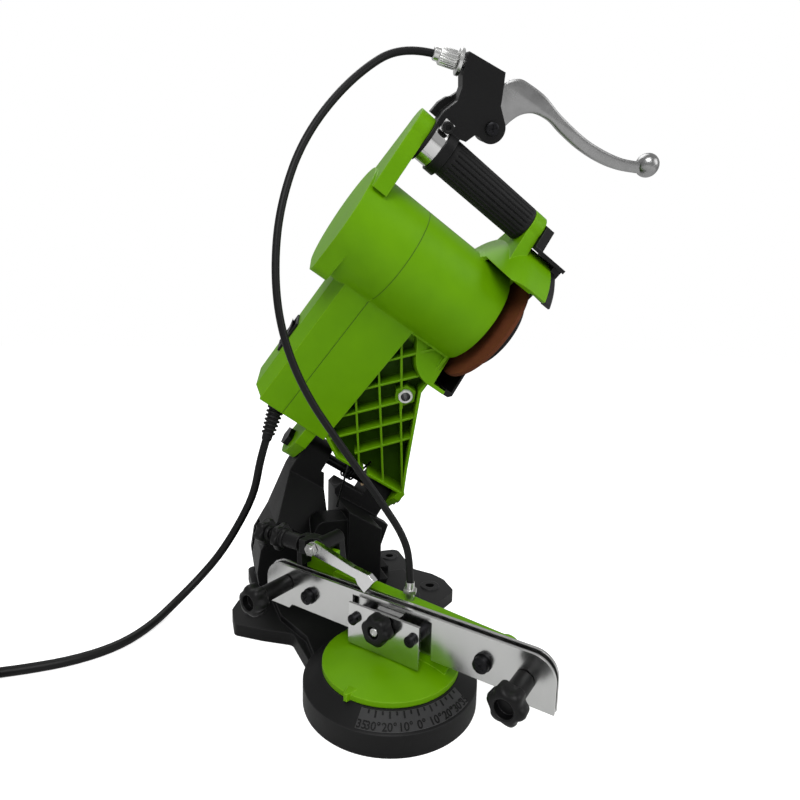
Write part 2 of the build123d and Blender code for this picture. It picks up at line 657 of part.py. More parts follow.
with BuildPart() as lock_knob:
    lock_plane = Plane(origin=rail_section(lock_knob_at - 3.0).from_local_coords((screw_z, screw_off, 0)),
                       x_dir=(0, 0, 1), z_dir=rail_dir)
    lobed_knob(lock_plane, 10.5, 6.0)
    disc(lock_plane.offset(6.0), 7.0, 3.2)
    disc(lock_plane.offset(-1), screw_radius + running, 20, mode=Mode.SUBTRACT)
lock_knob.part.label = "lock_knob"
export_step(lock_knob.part, "parts/lock_knob.step")

with BuildPart() as stop_arm:
    disc(rail_face(boss_back), boss_radius, boss_front - boss_back, at=(boss_at, boss_z))
    block(rail_section(socket_from), boss_z - 5.0, boss_z + 5.0, -9.0, screw_off + 5.0, socket_depth + 2.0)
    block(rail_section(socket_from), boss_z - 5.0, boss_z + 5.0, -9.0, boss_front, boss_at - socket_from)
    disc(rail_section(socket_from), screw_radius + running, socket_depth, at=(screw_z, screw_off),
         mode=Mode.SUBTRACT)
    slab(rail_face(boss_back), [(boss_at - 5.5, boss_z), (boss_at + 5.5, boss_z), (boss_at + 11, 46),
                                (boss_at - 2, 46)], 6.0)
    disc(rail_face(boss_back + 4), pawl_bolt_radius + running, 60, at=(boss_at, boss_z), mode=Mode.SUBTRACT)
stop_arm.part.label = "stop_arm"
export_step(stop_arm.part, "parts/stop_arm.step")

# The pawl is a folded channel; (along, z) of its flared working end.
pawl_tip_at = -17.0
pawl_tip_z = 75.5
pawl_angle = math.degrees(math.atan2(pawl_tip_z - boss_z, pawl_tip_at - boss_at))
pawl_back = boss_front + easy
pawl_width = 10.0
pawl_depth = 4.4
pawl_sheet = 1.5
pawl_origin = rail_face(pawl_back).from_local_coords((boss_at, boss_z, 0))
pawl_dir = rail_dir * math.cos(math.radians(pawl_angle)) + Vector(0, 0, math.sin(math.radians(pawl_angle)))
with BuildPart() as chain_stop:
    pawl_plane = Plane(origin=pawl_origin, x_dir=pawl_dir, z_dir=rail_normal)
    with BuildSketch(pawl_plane):
        with BuildLine():
            Polyline((0, -pawl_width / 2), (40, -1.6), (43, -4.7), (49.7, -7.6), (54.9, 4.0), (49.4, 6.2),
                     (36, 4.6), (0, pawl_width / 2))
            ThreePointArc((0, pawl_width / 2), (-pawl_width / 2, 0), (0, -pawl_width / 2))
        make_face()
    extrude(amount=pawl_depth)
    slab(pawl_plane.offset(pawl_sheet), [(-8, -9), (36, -9), (36, 4.6 - pawl_sheet),
                                         (-8, pawl_width / 2 - pawl_sheet)],
         pawl_depth - 2 * pawl_sheet, mode=Mode.SUBTRACT)
    disc(pawl_plane, pawl_bolt_radius + running, pawl_depth, mode=Mode.SUBTRACT)
chain_stop.part.label = "chain_stop"
export_step(chain_stop.part, "parts/chain_stop.step")

with BuildPart() as stop_bolt:
    disc(rail_face(boss_back + 6), pawl_bolt_radius, pawl_back + pawl_depth + 5 - boss_back - 6, at=(boss_at, boss_z))
    hexagon(rail_face(pawl_back + pawl_depth + easy), 4.0, 3.6, at=(boss_at, boss_z))
stop_bolt.part.label = "stop_bolt"
export_step(stop_bolt.part, "parts/stop_bolt.step")

# =====================================================================================
# Motor casing: one outer form, split across the drum into an end cap and the housing.
# =====================================================================================
drum_radius = 43.0
drum_left = -148.0
drum_right = -11.0
shell_seam = -96.0
shell_wall = 2.6
dome_radius = 72.0
dome_wall = 3.0
dome_open = 5.0         # where the dome's rim ends, to the right of the wheel
chamber_back = -8.0     # the wheel chamber's back wall
opening_from = 46.0     # the guard is open between these angles, from the reach to the front
opening_to = 157.0
box_front = 22.0
box_back = -33.0
box_left = -126.0
box_front_left = -119.0
box_right = -51.0
box_low_left = 31.0
box_low_right = 27.6
shaft_radius = 4.0
bearing_radius = 11.0
handle_at = 274.6       # handle axis from the hinge
handle_front = 4.0
handle_radius = 11.1
grip_radius = 14.0
arm_left_from = -146.0
arm_left_to = -134.0
arm_right_from = -31.0
arm_right_to = -20.0
web_back = 2.5
web_thickness = 3.0
rim_front = 21.0
insert_at = -17.0
insert_reach = 104.0
insert_radius = 6.3
insert_bore = 4.1
wheel_axis = Axis(head_point(0, reach, 0), across_dir)


def around_wheel(degrees_from_reach):
    """A plane through the wheel's axis, drawn in (a, radius)."""
    turn = math.radians(degrees_from_reach)
    out = reach_dir * math.cos(turn) + front_dir * math.sin(turn)
    return Plane(origin=head_point(0, reach, 0), x_dir=across_dir, z_dir=across_dir.cross(out))


def wheel_point(radius, degrees_from_reach):
    """(s, q) of a point at a radius and an angle round the wheel."""
    turn = math.radians(degrees_from_reach)
    return (reach + radius * math.cos(turn), radius * math.sin(turn))


# screw lobe beside the drum's left end
lobe_radius = 11.0
lobe_length = 14.0
lobe_reach = 40.0
lobe_turn = 142.0
lobe_tangent = math.degrees(math.acos((drum_radius - lobe_radius) / lobe_reach))
lobe_centre = wheel_point(lobe_reach, lobe_turn)
lobe_before = (lobe_radius * math.cos(math.radians(lobe_turn - lobe_tangent)),
               lobe_radius * math.sin(math.radians(lobe_turn - lobe_tangent)))
lobe_after = (lobe_radius * math.cos(math.radians(lobe_turn + lobe_tangent)),
              lobe_radius * math.sin(math.radians(lobe_turn + lobe_tangent)))

# framed rocker in the box's left end
switch_at = 84.0        # along the reach
switch_front = -10.0
switch_long = 30.0
switch_wide = 21.0
rocker_long = 25.0
rocker_wide = 15.0
rocker_pin = 1.5
rocker_pin_depth = 5.0
rocker_pin_reach = 1.6

# the lead's strain relief leaves the box's underside
gland_point = head_point(-101.9, 30.2, 8)
relief_end = Vector(-62.7, 167.0, 143.3)
gland_dir = (relief_end - gland_point).normalized()
relief_root = 7.5

box_outline = [(box_front_left, box_low_left), (box_right, box_low_right), (box_right, reach),
               (box_front_left, reach)]
box_end = [(box_front_left, 22.0), (box_left, 6.0), (box_left, -27.0), (box_left + 6, box_back),
           (box_front_left, box_back)]
guard_opening = [wheel_point(36, 16), wheel_point(46, 14), wheel_point(66, opening_from), wheel_point(120, opening_from + 4),
                 wheel_point(160, 90), wheel_point(120, opening_to), wheel_point(36, opening_to + 3)]

with BuildPart() as casing:
    # dome that guards the wheel, flaring out of the drum
    with BuildSketch(around_wheel(0)) as dome_profile:
        with BuildLine():
            Polyline((dome_open, 0), (-45, 0), (-45, drum_radius - 1), (-41, drum_radius + 3), (-34, 58))
            ThreePointArc((-34, 58), (-25, 67.3), (-11, dome_radius - 0.8))
            Polyline((-11, dome_radius - 0.8), (dome_open, dome_radius - 0.8), (dome_open, 0))
        make_face()
    revolve(dome_profile.sketch, axis=wheel_axis)
    slab(across(-60), guard_opening, 120, mode=Mode.SUBTRACT)
    # wheel chamber
    with BuildSketch(across(chamber_back)) as chamber:
        with Locations((reach, 0)):
            Circle(dome_radius - dome_wall - 1)
    extrude(chamber.sketch, amount=dome_open - chamber_back + 1, mode=Mode.SUBTRACT)
    # hollow behind the chamber's back wall, on the covered side only
    with BuildSketch(around_wheel(opening_to + 12)) as pocket_profile:
        with BuildLine():
            Polyline((-52, 30), (-46, 38), (-40, 41), (-33, 54), (-26, 62), (chamber_back - 3, 67),
                     (chamber_back - 3, 30), close=True)
        make_face()
    revolve(pocket_profile.sketch, axis=wheel_axis, revolution_arc=360 - (opening_to - opening_from) - 24,
            mode=Mode.SUBTRACT)
    # drum
    disc(across(drum_left), drum_radius, drum_right - drum_left, at=(reach, 0))
    # screw lobe at the front of the left end, blended into the drum
    disc(across(drum_left), lobe_radius, lobe_length, at=wheel_point(lobe_reach, lobe_turn))
    with BuildSketch(across(drum_left)) as lobe_sides:
        with BuildLine():
            Polyline(wheel_point(drum_radius, lobe_turn - lobe_tangent), wheel_point(drum_radius, lobe_turn + lobe_tangent),
                     (lobe_centre[0] + lobe_after[0], lobe_centre[1] + lobe_after[1]),
                     (lobe_centre[0] + lobe_before[0], lobe_centre[1] + lobe_before[1]), close=True)
        make_face()
    extrude(lobe_sides.sketch, amount=lobe_length)
    # box under the drum
    slab(facing(box_back), box_outline, box_front - box_back)
    # box's left end, with its front corner taken off
    with BuildSketch(Plane(origin=head_point(0, 0, 0), x_dir=front_dir, z_dir=reach_dir).offset(box_low_left + 2)) as end:
        with BuildLine():
            Polyline(*[(q, a) for a, q in box_end], close=True)
        make_face()
    extrude(end.sketch, amount=reach - box_low_left - 20)
    # handle arms
    slab(across(arm_left_from), [(228, -24), (handle_at, -10), (handle_at, 18), (228, 30)],
         arm_left_to - arm_left_from)
    disc(across(arm_left_from), grip_radius, arm_left_to - arm_left_from, at=(handle_at, handle_front))
    slab(across(arm_right_from), [(246, -24), (handle_at, -10), (handle_at, 18), (246, 30)],
         arm_right_to - arm_right_from)
    disc(across(arm_right_from), grip_radius, arm_right_to - arm_right_from, at=(handle_at, handle_front))
    # motor space and box space
    disc(across(drum_left + shell_wall), drum_radius - shell_wall, -14 - shell_wall - drum_left - shell_wall,
         at=(reach, 0), mode=Mode.SUBTRACT)
    slab(facing(box_back + shell_wall),
         [(box_left + shell_wall, box_low_left + 8), (box_front_left, box_low_left + 3),
          (box_right - shell_wall, box_low_right + 4), (box_right - shell_wall, reach - 20),
          (box_left + shell_wall, reach - 20)], 6 - box_back - shell_wall, mode=Mode.SUBTRACT)
    slab(facing(4), [(box_front_left + 1, box_low_left + 3), (box_right - shell_wall, box_low_right + 4),
                     (box_right - shell_wall, reach - 40), (box_front_left + 1, reach - 40)],
         box_front - 4 - shell_wall, mode=Mode.SUBTRACT)
    # bearing seats at both ends of the drum
    disc(across(drum_left + shell_wall - 0.5), bearing_radius + 3, 9.0, at=(reach, 0))
    disc(across(-26), bearing_radius + 3, 14.0, at=(reach, 0))
    disc(across(drum_left + shell_wall), bearing_radius, 20.0, at=(reach, 0), mode=Mode.SUBTRACT)
    disc(across(-40), bearing_radius, 24.0, at=(reach, 0), mode=Mode.SUBTRACT)
    disc(across(-20), shaft_radius + 1.5, 30.0, at=(reach, 0), mode=Mode.SUBTRACT)
    disc(Plane(origin=gland_point - gland_dir * 6, z_dir=gland_dir), relief_root + loose, 14, mode=Mode.SUBTRACT)
    block(across(box_left - 1), switch_at - switch_long / 2 + 2 - loose, switch_at + switch_long / 2 - 2 + loose,
          switch_front - switch_wide / 2 + 2 - loose, switch_front + switch_wide / 2 - 2 + loose, 10,
          mode=Mode.SUBTRACT)
    # handle bar sockets
    disc(across(arm_left_from + 3), handle_radius + loose, 30, at=(handle_at, handle_front), mode=Mode.SUBTRACT)
    disc(across(arm_right_from - 10), handle_radius + loose, 18, at=(handle_at, handle_front), mode=Mode.SUBTRACT)

rim_wall = 2.5
rib_wall = 1.8
# two points (a, s) on each rib's line
yoke_ribs = [((-49, 125), (-29, 150)), ((-49.5, 91), (-25, 121)), ((-49.6, 57), (-29.8, 82)),
             ((-29.6, 50.7), (2, 91)), ((-0.3, 53.9), (14.3, 73.5)), ((-49.3, 139.5), (-30.8, 115.9)),
             ((-49, 107.7), (4.8, 41.2)), ((-48.7, 74), (-23, 41.5)), ((-4.3, 81.4), (34.5, 33.6))]
yoke_low = 17.0
yoke_outline = [(-12, 157), (-9, 116), (32, 44.6), (right_lug_to, yoke_low), (-30, yoke_low), (box_right - 6, 34),
                (box_right - 6, 157)]
with BuildPart() as yoke:
    slab(facing(web_back), yoke_outline, web_thickness)
    with BuildSketch(facing(web_back)) as rim:
        with BuildLine():
            Polyline(*yoke_outline, close=True)
        make_face()
        offset(amount=-rim_wall, kind=Kind.INTERSECTION, mode=Mode.SUBTRACT)
    extrude(rim.sketch, amount=rim_front - web_back)
    # diamond of thin ribs on the web
    with BuildSketch(facing(web_back)) as ribs:
        for (a1, s1), (a2, s2) in yoke_ribs:
            with Locations(((a1 + a2) / 2, (s1 + s2) / 2)):
                Rectangle(math.hypot(a2 - a1, s2 - s1) + 60, rib_wall,
                          rotation=math.degrees(math.atan2(s2 - s1, a2 - a1)))
        with BuildLine():
            Polyline(*yoke_outline, close=True)
        make_face(mode=Mode.INTERSECT)
    extrude(ribs.sketch, amount=rim_front - 2 - web_back)
    block(facing(web_back + web_thickness), spring_start_a - 2.5, spring_start_a + 2.5, yoke_low - 1,
          spring_leg_up + 6, rim_front, mode=Mode.SUBTRACT)
    # lugs either side of the column's ears
    for lug_from, lug_to, lug_reach in ((left_lug_from, left_lug_to, 46), (right_lug_from, right_lug_to, 19)):
        disc(across(lug_from), ear_radius, lug_to - lug_from)
        slab(across(lug_from), [(-4, -14.4), (lug_reach, -14), (lug_reach, rim_front), (10, rim_front), (-4, 14.4)],
             lug_to - lug_from)
    # collar for the threaded insert
    hexagon(facing(web_back), 8.6, rim_front - 4 - web_back, at=(insert_at, insert_reach))
    disc(facing(web_back), insert_radius + loose, 30, at=(insert_at, insert_reach), mode=Mode.SUBTRACT)
    disc(across(left_lug_from), pin_radius + running, right_lug_to - left_lug_from, mode=Mode.SUBTRACT)

with BuildPart() as motor_end_cap:
    add(casing.part)
    split(bisect_by=across(shell_seam), keep=Keep.BOTTOM)
motor_end_cap.part.label = "motor_end_cap"
export_step(motor_end_cap.part, "parts/motor_end_cap.step")

with BuildPart() as motor_housing:
    add(casing.part)
    split(bisect_by=across(shell_seam), keep=Keep.TOP)
    add(yoke.part)
    disc(across(drum_left + shell_wall), drum_radius - shell_wall, -14 - shell_wall - drum_left - shell_wall,
         at=(reach, 0), mode=Mode.SUBTRACT)
    disc(across(-26), bearing_radius + 3, 12.5, at=(reach, 0))
    disc(across(-26), bearing_radius, 8.0, at=(reach, 0), mode=Mode.SUBTRACT)
    disc(across(-20), shaft_radius + 1.5, 30.0, at=(reach, 0), mode=Mode.SUBTRACT)
motor_housing.part.label = "motor_housing"
export_step(motor_housing.part, "parts/motor_housing.step")

with BuildPart() as threaded_insert:
    disc(facing(web_back + 1), insert_radius, rim_front - 3 - web_back, at=(insert_at, insert_reach))
    disc(facing(web_back + 1), insert_bore, rim_front - 3 - web_back, at=(insert_at, insert_reach), mode=Mode.SUBTRACT)
threaded_insert.part.label = "threaded_insert"
export_step(threaded_insert.part, "parts/threaded_insert.step")

# =====================================================================================
# Motor: laminated stator, rotor on its shaft and two bearings.
# =====================================================================================
stator_radius = 35.0
rotor_radius = 20.0
stator_left = -128.0
stator_right = -62.0

with BuildPart() as stator:
    disc(across(stator_left), stator_radius, stator_right - stator_left, at=(reach, 0))
    disc(across(stator_left), rotor_radius + 0.8, stator_right - stator_left, at=(reach, 0), mode=Mode.SUBTRACT)
    # feet that reach the drum's wall
    for turn in (45, 135, 225, 315):
        foot_at = wheel_point(stator_radius + 1.5, turn)
        disc(across(stator_left), 3.6, stator_right - stator_left, at=foot_at)
stator.part.label = "stator"
export_step(stator.part, "parts/stator.step")

flange_radius = 16.0
wheel_radius = 54.0
wheel_thickness = 3.2
wheel_bore = 8.0
half_wheel = wheel_thickness / 2

with BuildPart() as rotor:
    disc(across(drum_left + 4.5), shaft_radius, 10.0 - drum_left - 4.5, at=(reach, 0))
    disc(across(stator_left + 2), rotor_radius, stator_right - stator_left - 4, at=(reach, 0))
    disc(across(stator_right + 2), 12.0, 14.0, at=(reach, 0))
    # inner flange that the wheel seats on
    disc(across(-half_wheel - 3.0), flange_radius, 3.0, at=(reach, 0))
    disc(across(-half_wheel), wheel_bore - running, 1.6, at=(reach, 0))
rotor.part.label = "rotor"
export_step(rotor.part, "parts/rotor.step")

with BuildPart() as bearings:
    for bearing_from, bearing_width in ((drum_left + 5.0, 7.0), (-25.5, 7.0)):
        disc(across(bearing_from), bearing_radius - loose, bearing_width, at=(reach, 0))
        disc(across(bearing_from), shaft_radius + running, bearing_width, at=(reach, 0), mode=Mode.SUBTRACT)
bearings.part.label = "bearings"
export_step(bearings.part, "parts/bearings.step")

# =====================================================================================
# Grinding wheel, its outer flange and nut, and the black cover on the guard's right.
# =====================================================================================
with BuildPart() as grinding_wheel:
    with BuildSketch(around_wheel(0)) as wheel_profile:
        with BuildLine():
            Polyline((-half_wheel, wheel_bore), (-half_wheel, wheel_radius - 0.6), (-half_wheel + 0.6, wheel_radius),
                     (half_wheel - 0.6, wheel_radius), (half_wheel, wheel_radius - 0.6), (half_wheel, wheel_bore),
                     close=True)
        make_face()
    revolve(wheel_profile.sketch, axis=wheel_axis)
grinding_wheel.part.label = "grinding_wheel"
export_step(grinding_wheel.part, "parts/grinding_wheel.step")

with BuildPart() as wheel_flange:
    disc(across(half_wheel), flange_radius, 2.6, at=(reach, 0))
    disc(across(half_wheel), shaft_radius + running, 2.6, at=(reach, 0), mode=Mode.SUBTRACT)
wheel_flange.part.label = "wheel_flange"
export_step(wheel_flange.part, "parts/wheel_flange.step")

with BuildPart() as wheel_nut:
    hexagon(across(half_wheel + 2.6), 6.5, 4.5, at=(reach, 0))
    disc(across(half_wheel + 2.6), shaft_radius + running, 4.5, at=(reach, 0), mode=Mode.SUBTRACT)
wheel_nut.part.label = "wheel_nut"
export_step(wheel_nut.part, "parts/wheel_nut.step")

cover_radius = 71.0
cover_depth = 8.0
cover_wall = 2.0
cover_hub = 36.0
cover_edge = 3.0
flap_sheet = 3.0
flap_foot = reach + dome_radius
cover_screw_angles = (-60, -150, 12)
cover_screw_reach = 60.0
with BuildPart() as wheel_cover:
    disc(across(dome_open), cover_radius, cover_depth, at=(reach, 0))
    chamfer(wheel_cover.faces().sort_by(wheel_axis)[-1].edges(), cover_edge)
    disc(across(dome_open), cover_radius - cover_edge - cover_wall, cover_depth - cover_wall, at=(reach, 0),
         mode=Mode.SUBTRACT)
    slab(across(dome_open - 10), guard_opening, cover_depth + 20, mode=Mode.SUBTRACT)
    disc(across(dome_open), cover_hub, cover_depth, at=(reach, 0))
    disc(across(dome_open), cover_hub - cover_wall, cover_depth - cover_wall, at=(reach, 0), mode=Mode.SUBTRACT)
    # screw posts
    for turn in cover_screw_angles:
        disc(across(dome_open), 5.0, cover_depth, at=wheel_point(cover_screw_reach, turn))
    # upper flap behind the right handle arm, and the bar that joins it over the dome
    slab(across(arm_right_to + easy), [(flap_foot, -20), (handle_at + 10, -9), (handle_at + 10, 17), (flap_foot, 26)], 7.6)
    block(across(arm_right_to + easy), flap_foot, flap_foot + flap_sheet, -20, 26, dome_open + cover_depth - arm_right_to - easy)
    block(across(dome_open), reach + 60, flap_foot + flap_sheet, -20, 22, cover_depth)
    disc(across(dome_open - 6), dome_radius - dome_wall - 1, 6, at=(reach, 0), mode=Mode.SUBTRACT)
    for turn in cover_screw_angles:
        disc(across(dome_open - 2), 2.0 + loose, cover_depth + 6, at=wheel_point(cover_screw_reach, turn),
             mode=Mode.SUBTRACT)
wheel_cover.part.label = "wheel_cover"
export_step(wheel_cover.part, "parts/wheel_cover.step")

with BuildPart() as cover_screws:
    for turn in cover_screw_angles:
        disc(across(chamber_back + 1), 2.0, dome_open + cover_depth - chamber_back - 1,
             at=wheel_point(cover_screw_reach, turn))
        disc(across(dome_open + cover_depth), 4.0, 2.4, at=wheel_point(cover_screw_reach, turn))
cover_screws.part.label = "cover_screws"
export_step(cover_screws.part, "parts/cover_screws.step")

# =====================================================================================
# Switch: a framed rocker in the box's left end.
# =====================================================================================
with BuildPart() as switch_frame:
    block(across(box_left - 2.0), switch_at - switch_long / 2, switch_at + switch_long / 2,
          switch_front - switch_wide / 2, switch_front + switch_wide / 2, 2.0)
    block(across(box_left), switch_at - switch_long / 2 + 2, switch_at + switch_long / 2 - 2,
          switch_front - switch_wide / 2 + 2, switch_front + switch_wide / 2 - 2, 18.0)
    block(across(box_left - 2.0), switch_at - rocker_long / 2, switch_at + rocker_long / 2,
          switch_front - rocker_wide / 2, switch_front + rocker_wide / 2, 14.0, mode=Mode.SUBTRACT)
    disc(facing(switch_front - rocker_wide / 2 - rocker_pin_reach - loose), rocker_pin + running,
         rocker_wide + 2 * (rocker_pin_reach + loose), at=(box_left + rocker_pin_depth, switch_at), mode=Mode.SUBTRACT)
switch_frame.part.label = "switch_frame"
export_step(switch_frame.part, "parts/switch_frame.step")

with BuildPart() as rocker_switch:
    with BuildSketch(facing(switch_front - rocker_wide / 2 + easy)) as rocker:
        with BuildLine():
            Polyline((box_left + rocker_pin_depth + 3, switch_at), (box_left - 1.2, switch_at - rocker_long / 2 + 1.4),
                     (box_left - 2.0, switch_at), (box_left - 4.2, switch_at + rocker_long / 2 - 1.8), close=True)
        make_face()
    extrude(rocker.sketch, amount=rocker_wide - 2 * easy)
    # pins that the rocker tips on
    disc(facing(switch_front - rocker_wide / 2 - rocker_pin_reach), rocker_pin, rocker_wide + 2 * rocker_pin_reach,
         at=(box_left + rocker_pin_depth, switch_at))
rocker_switch.part.label = "rocker_switch"
export_step(rocker_switch.part, "parts/rocker_switch.step")

# =====================================================================================
# Handle: bar between the arms, fluted grip, clamp band and the brake lever's bracket.
# =====================================================================================
grip_left = -113.0
flute_count = 22
flute_radius = 1.1
band_left = -131.0
band_right = -121.0
band_inner = 13.55
band_outer = 15.2
saddle_left = -133.8
saddle_right = -113.2
saddle_radius = 16.8
lever_thickness = 8.0
cheek = 5.0
lever_pivot_at = (-99.7, 308.3)
lever_pivot_radius = 2.5
pivot_boss = 10.0

with BuildPart() as handle_bar:
    disc(across(arm_left_from + 3.2), handle_radius, arm_right_from + 7.6 - arm_left_from - 3.2,
         at=(handle_at, handle_front))
    disc(across(arm_left_from + 3.2), handle_radius - 1.6, 140, at=(handle_at, handle_front), mode=Mode.SUBTRACT)
handle_bar.part.label = "handle_bar"
export_step(handle_bar.part, "parts/handle_bar.step")

with BuildPart() as grip:
    with BuildSketch(across(grip_left)) as grip_section:
        with Locations((handle_at, handle_front)):
            Circle(grip_radius)
            with PolarLocations(grip_radius + 0.3, flute_count):
                Circle(flute_radius, mode=Mode.SUBTRACT)
            Circle(handle_radius + loose, mode=Mode.SUBTRACT)
    extrude(grip_section.sketch, amount=arm_right_from - grip_left - 0.3)
grip.part.label = "grip"
export_step(grip.part, "parts/grip.step")

# Barrel adjuster at the bracket's end, with its lock ring; the cable starts in its bore.
adjuster_dip = math.radians(22)
adjuster_dir = across_dir * -math.cos(adjuster_dip) - reach_dir * math.sin(adjuster_dip)
adjuster_root = head_point(-140.9, 327.1, handle_front)
adjuster_plane = Plane(origin=adjuster_root, x_dir=front_dir, z_dir=adjuster_dir)
ring_from = 1.5
barrel_from = 5.0
barrel_to = 18.0
tip_to = 22.0
cable_in = 12.0

half_bracket = lever_thickness / 2 + cheek
slot_half = lever_thickness / 2 + 0.3
bracket_face = handle_front + half_bracket
clamp_screw_at = (-125.6, 289.5)
band_screw_radius = 2.0
with BuildPart() as clamp_band:
    disc(across(band_left), band_outer, band_right - band_left, at=(handle_at, handle_front))
    disc(across(band_left), band_inner, band_right - band_left, at=(handle_at, handle_front), mode=Mode.SUBTRACT)
    block(across(band_left), handle_at, handle_at + 30, -30, bracket_face + 0.1, band_right - band_left,
          mode=Mode.SUBTRACT)
    # tab under the clamp screw's head
    block(across(band_left + 1), clamp_screw_at[1] - 4.5, clamp_screw_at[1] + 4.0, bracket_face + 0.1,
          bracket_face + 1.7, band_right - band_left - 2)
    disc(facing(bracket_face), band_screw_radius + loose, 8, at=clamp_screw_at, mode=Mode.SUBTRACT)
clamp_band.part.label = "clamp_band"
export_step(clamp_band.part, "parts/clamp_band.step")

bracket_outline = [(-143.5, 333.6), (-115.7, 339.8), (-107.1, 327.3), (-104.3, 322.8), (-96.3, 317.9),
                   (-92.5, 314.4), (-91.2, 308.9), (-95.7, 301.3), (-101.6, 299.2), (-106.5, 297.8),
                   (-108.8, 290.5), (saddle_right, 289), (saddle_right, handle_at + 0.3),
                   (saddle_left, handle_at + 0.3), (saddle_left, 296), (-130.5, 306.3), (-133.5, 315),
                   (-138.3, 320.6)]
back_lobe = [(-139.2, 290.5), (-138.5, 299), (-136.2, 304.8), (-133.7, 307.4), (-131.4, 313.1), (-131.8, 319.7),
             (-120, 319), (-120, 290.5)]
with BuildPart() as lever_bracket:
    slab(facing(handle_front - half_bracket), bracket_outline, 2 * half_bracket)
    slab(facing(handle_front - half_bracket - 7), back_lobe, 9)
    # saddle round the bar, grooved for the band
    disc(across(saddle_left), saddle_radius, saddle_right - saddle_left, at=(handle_at, handle_front))
    block(across(band_left - 0.2), handle_at - 30, handle_at + 0.1, -40, 40, band_right - band_left + 0.4,
          mode=Mode.SUBTRACT)
    block(across(band_left - 0.2), handle_at - 2, handle_at + 15, bracket_face, 40, band_right - band_left + 0.4,
          mode=Mode.SUBTRACT)
    disc(across(saddle_left), band_inner - 0.15, saddle_right - saddle_left, at=(handle_at, handle_front))
    disc(across(saddle_left - 1), handle_radius + loose, 30, at=(handle_at, handle_front), mode=Mode.SUBTRACT)
    # round boss about the lever's pivot
    disc(facing(handle_front - half_bracket), pivot_boss, 2 * half_bracket, at=lever_pivot_at)
    # slot for the lever
    slab(facing(handle_front - slot_half), [(-118, 299.8), (-80, 299.8), (-80, 350), (-118, 350)], 2 * slot_half,
         mode=Mode.SUBTRACT)
    disc(facing(handle_front - half_bracket - 1), lever_pivot_radius + running, 30, at=lever_pivot_at,
         mode=Mode.SUBTRACT)
    disc(facing(bracket_face - 8), band_screw_radius + loose, 12, at=clamp_screw_at, mode=Mode.SUBTRACT)
    disc(adjuster_plane.offset(-8), 3.0 + loose, 9, mode=Mode.SUBTRACT)
lever_bracket.part.label = "lever_bracket"
export_step(lever_bracket.part, "parts/lever_bracket.step")

with BuildPart() as clamp_screw:
    disc(facing(bracket_face - 7), band_screw_radius, 9.0, at=clamp_screw_at)
    disc(facing(bracket_face + 1.8), 4.0, 4.0, at=clamp_screw_at)
    hexagon(facing(bracket_face + 3.6), 2.0, 4.0, at=clamp_screw_at, mode=Mode.SUBTRACT)
clamp_screw.part.label = "clamp_screw"
export_step(clamp_screw.part, "parts/clamp_screw.step")

lever_ball = (13.6, 364.2)
with BuildPart() as brake_lever:
    with BuildSketch(facing(handle_front - lever_thickness / 2)) as lever_sketch:
        with BuildLine():
            Spline((-105, 343.4), (-92, 346.2), (-76, 347.2), (-53, 347.4), (-27, 349.2), (-6, 354.8), (9, 367.4))
            Line((9, 367.4), (14, 360))
            Spline((14, 360), (-3, 345), (-23, 337.6), (-48, 334.6), (-67, 335.6), (-80, 334.6), (-87, 328.6),
                   (-90.3, 318.7))
            Polyline((-90.3, 318.7), (-96, 313), (-98, 304), (-104, 304), (-107.5, 311), (-112, 331), (-105, 343.4))
        make_face()
        with Locations(lever_pivot_at):
            Circle(8.0)
    extrude(lever_sketch.sketch, amount=lever_thickness)
    with Locations(head_point(lever_ball[0], lever_ball[1], handle_front)):
        Sphere(9.2)
    disc(facing(handle_front - half_bracket), lever_pivot_radius + running, 30, at=lever_pivot_at,
         mode=Mode.SUBTRACT)
brake_lever.part.label = "brake_lever"
export_step(brake_lever.part, "parts/brake_lever.step")

with BuildPart() as lever_pivot:
    disc(facing(handle_front - half_bracket), lever_pivot_radius, 2 * half_bracket + 1, at=lever_pivot_at)
    disc(facing(handle_front + half_bracket), 4.6, 2.6, at=lever_pivot_at)
    disc(facing(handle_front - half_bracket - 2.6), 4.6, 2.6, at=lever_pivot_at)
lever_pivot.part.label = "lever_pivot"
export_step(lever_pivot.part, "parts/lever_pivot.step")

with BuildPart() as lock_ring:
    disc(adjuster_plane.offset(ring_from), 8.8, 3.2)
    disc(adjuster_plane.offset(ring_from), 3.0 + running, 3.2, mode=Mode.SUBTRACT)
lock_ring.part.label = "lock_ring"
export_step(lock_ring.part, "parts/lock_ring.step")

with BuildPart() as barrel_adjuster:
    disc(adjuster_plane.offset(-7.5), 3.0, barrel_from + 7.5)
    with BuildSketch(adjuster_plane.offset(barrel_from)) as knurl:
        Circle(6.0)
        with PolarLocations(6.3, 16):
            Circle(0.8, mode=Mode.SUBTRACT)
    extrude(knurl.sketch, amount=barrel_to - barrel_from)
    disc(adjuster_plane.offset(barrel_to), 4.4, tip_to - barrel_to)
    disc(adjuster_plane.offset(cable_in - 0.4), cable_radius + 0.1, 20, mode=Mode.SUBTRACT)
barrel_adjuster.part.label = "barrel_adjuster"
export_step(barrel_adjuster.part, "parts/barrel_adjuster.step")

# =====================================================================================
# Cables. Each free stretch is straight runs joined by tangent arcs.
# =====================================================================================
def route_radii(points):
    """One radius for each corner: 0.45 of the shorter run over the tangent of half the turn."""
    radii = []
    for before, corner, after in zip(points, points[1:], points[2:]):
        run_in = corner - before
        run_out = after - corner
        half_turn = math.radians(run_in.get_angle(run_out)) / 2
        radii.append(0.45 * min(run_in.length, run_out.length) / math.tan(half_turn))
    return radii


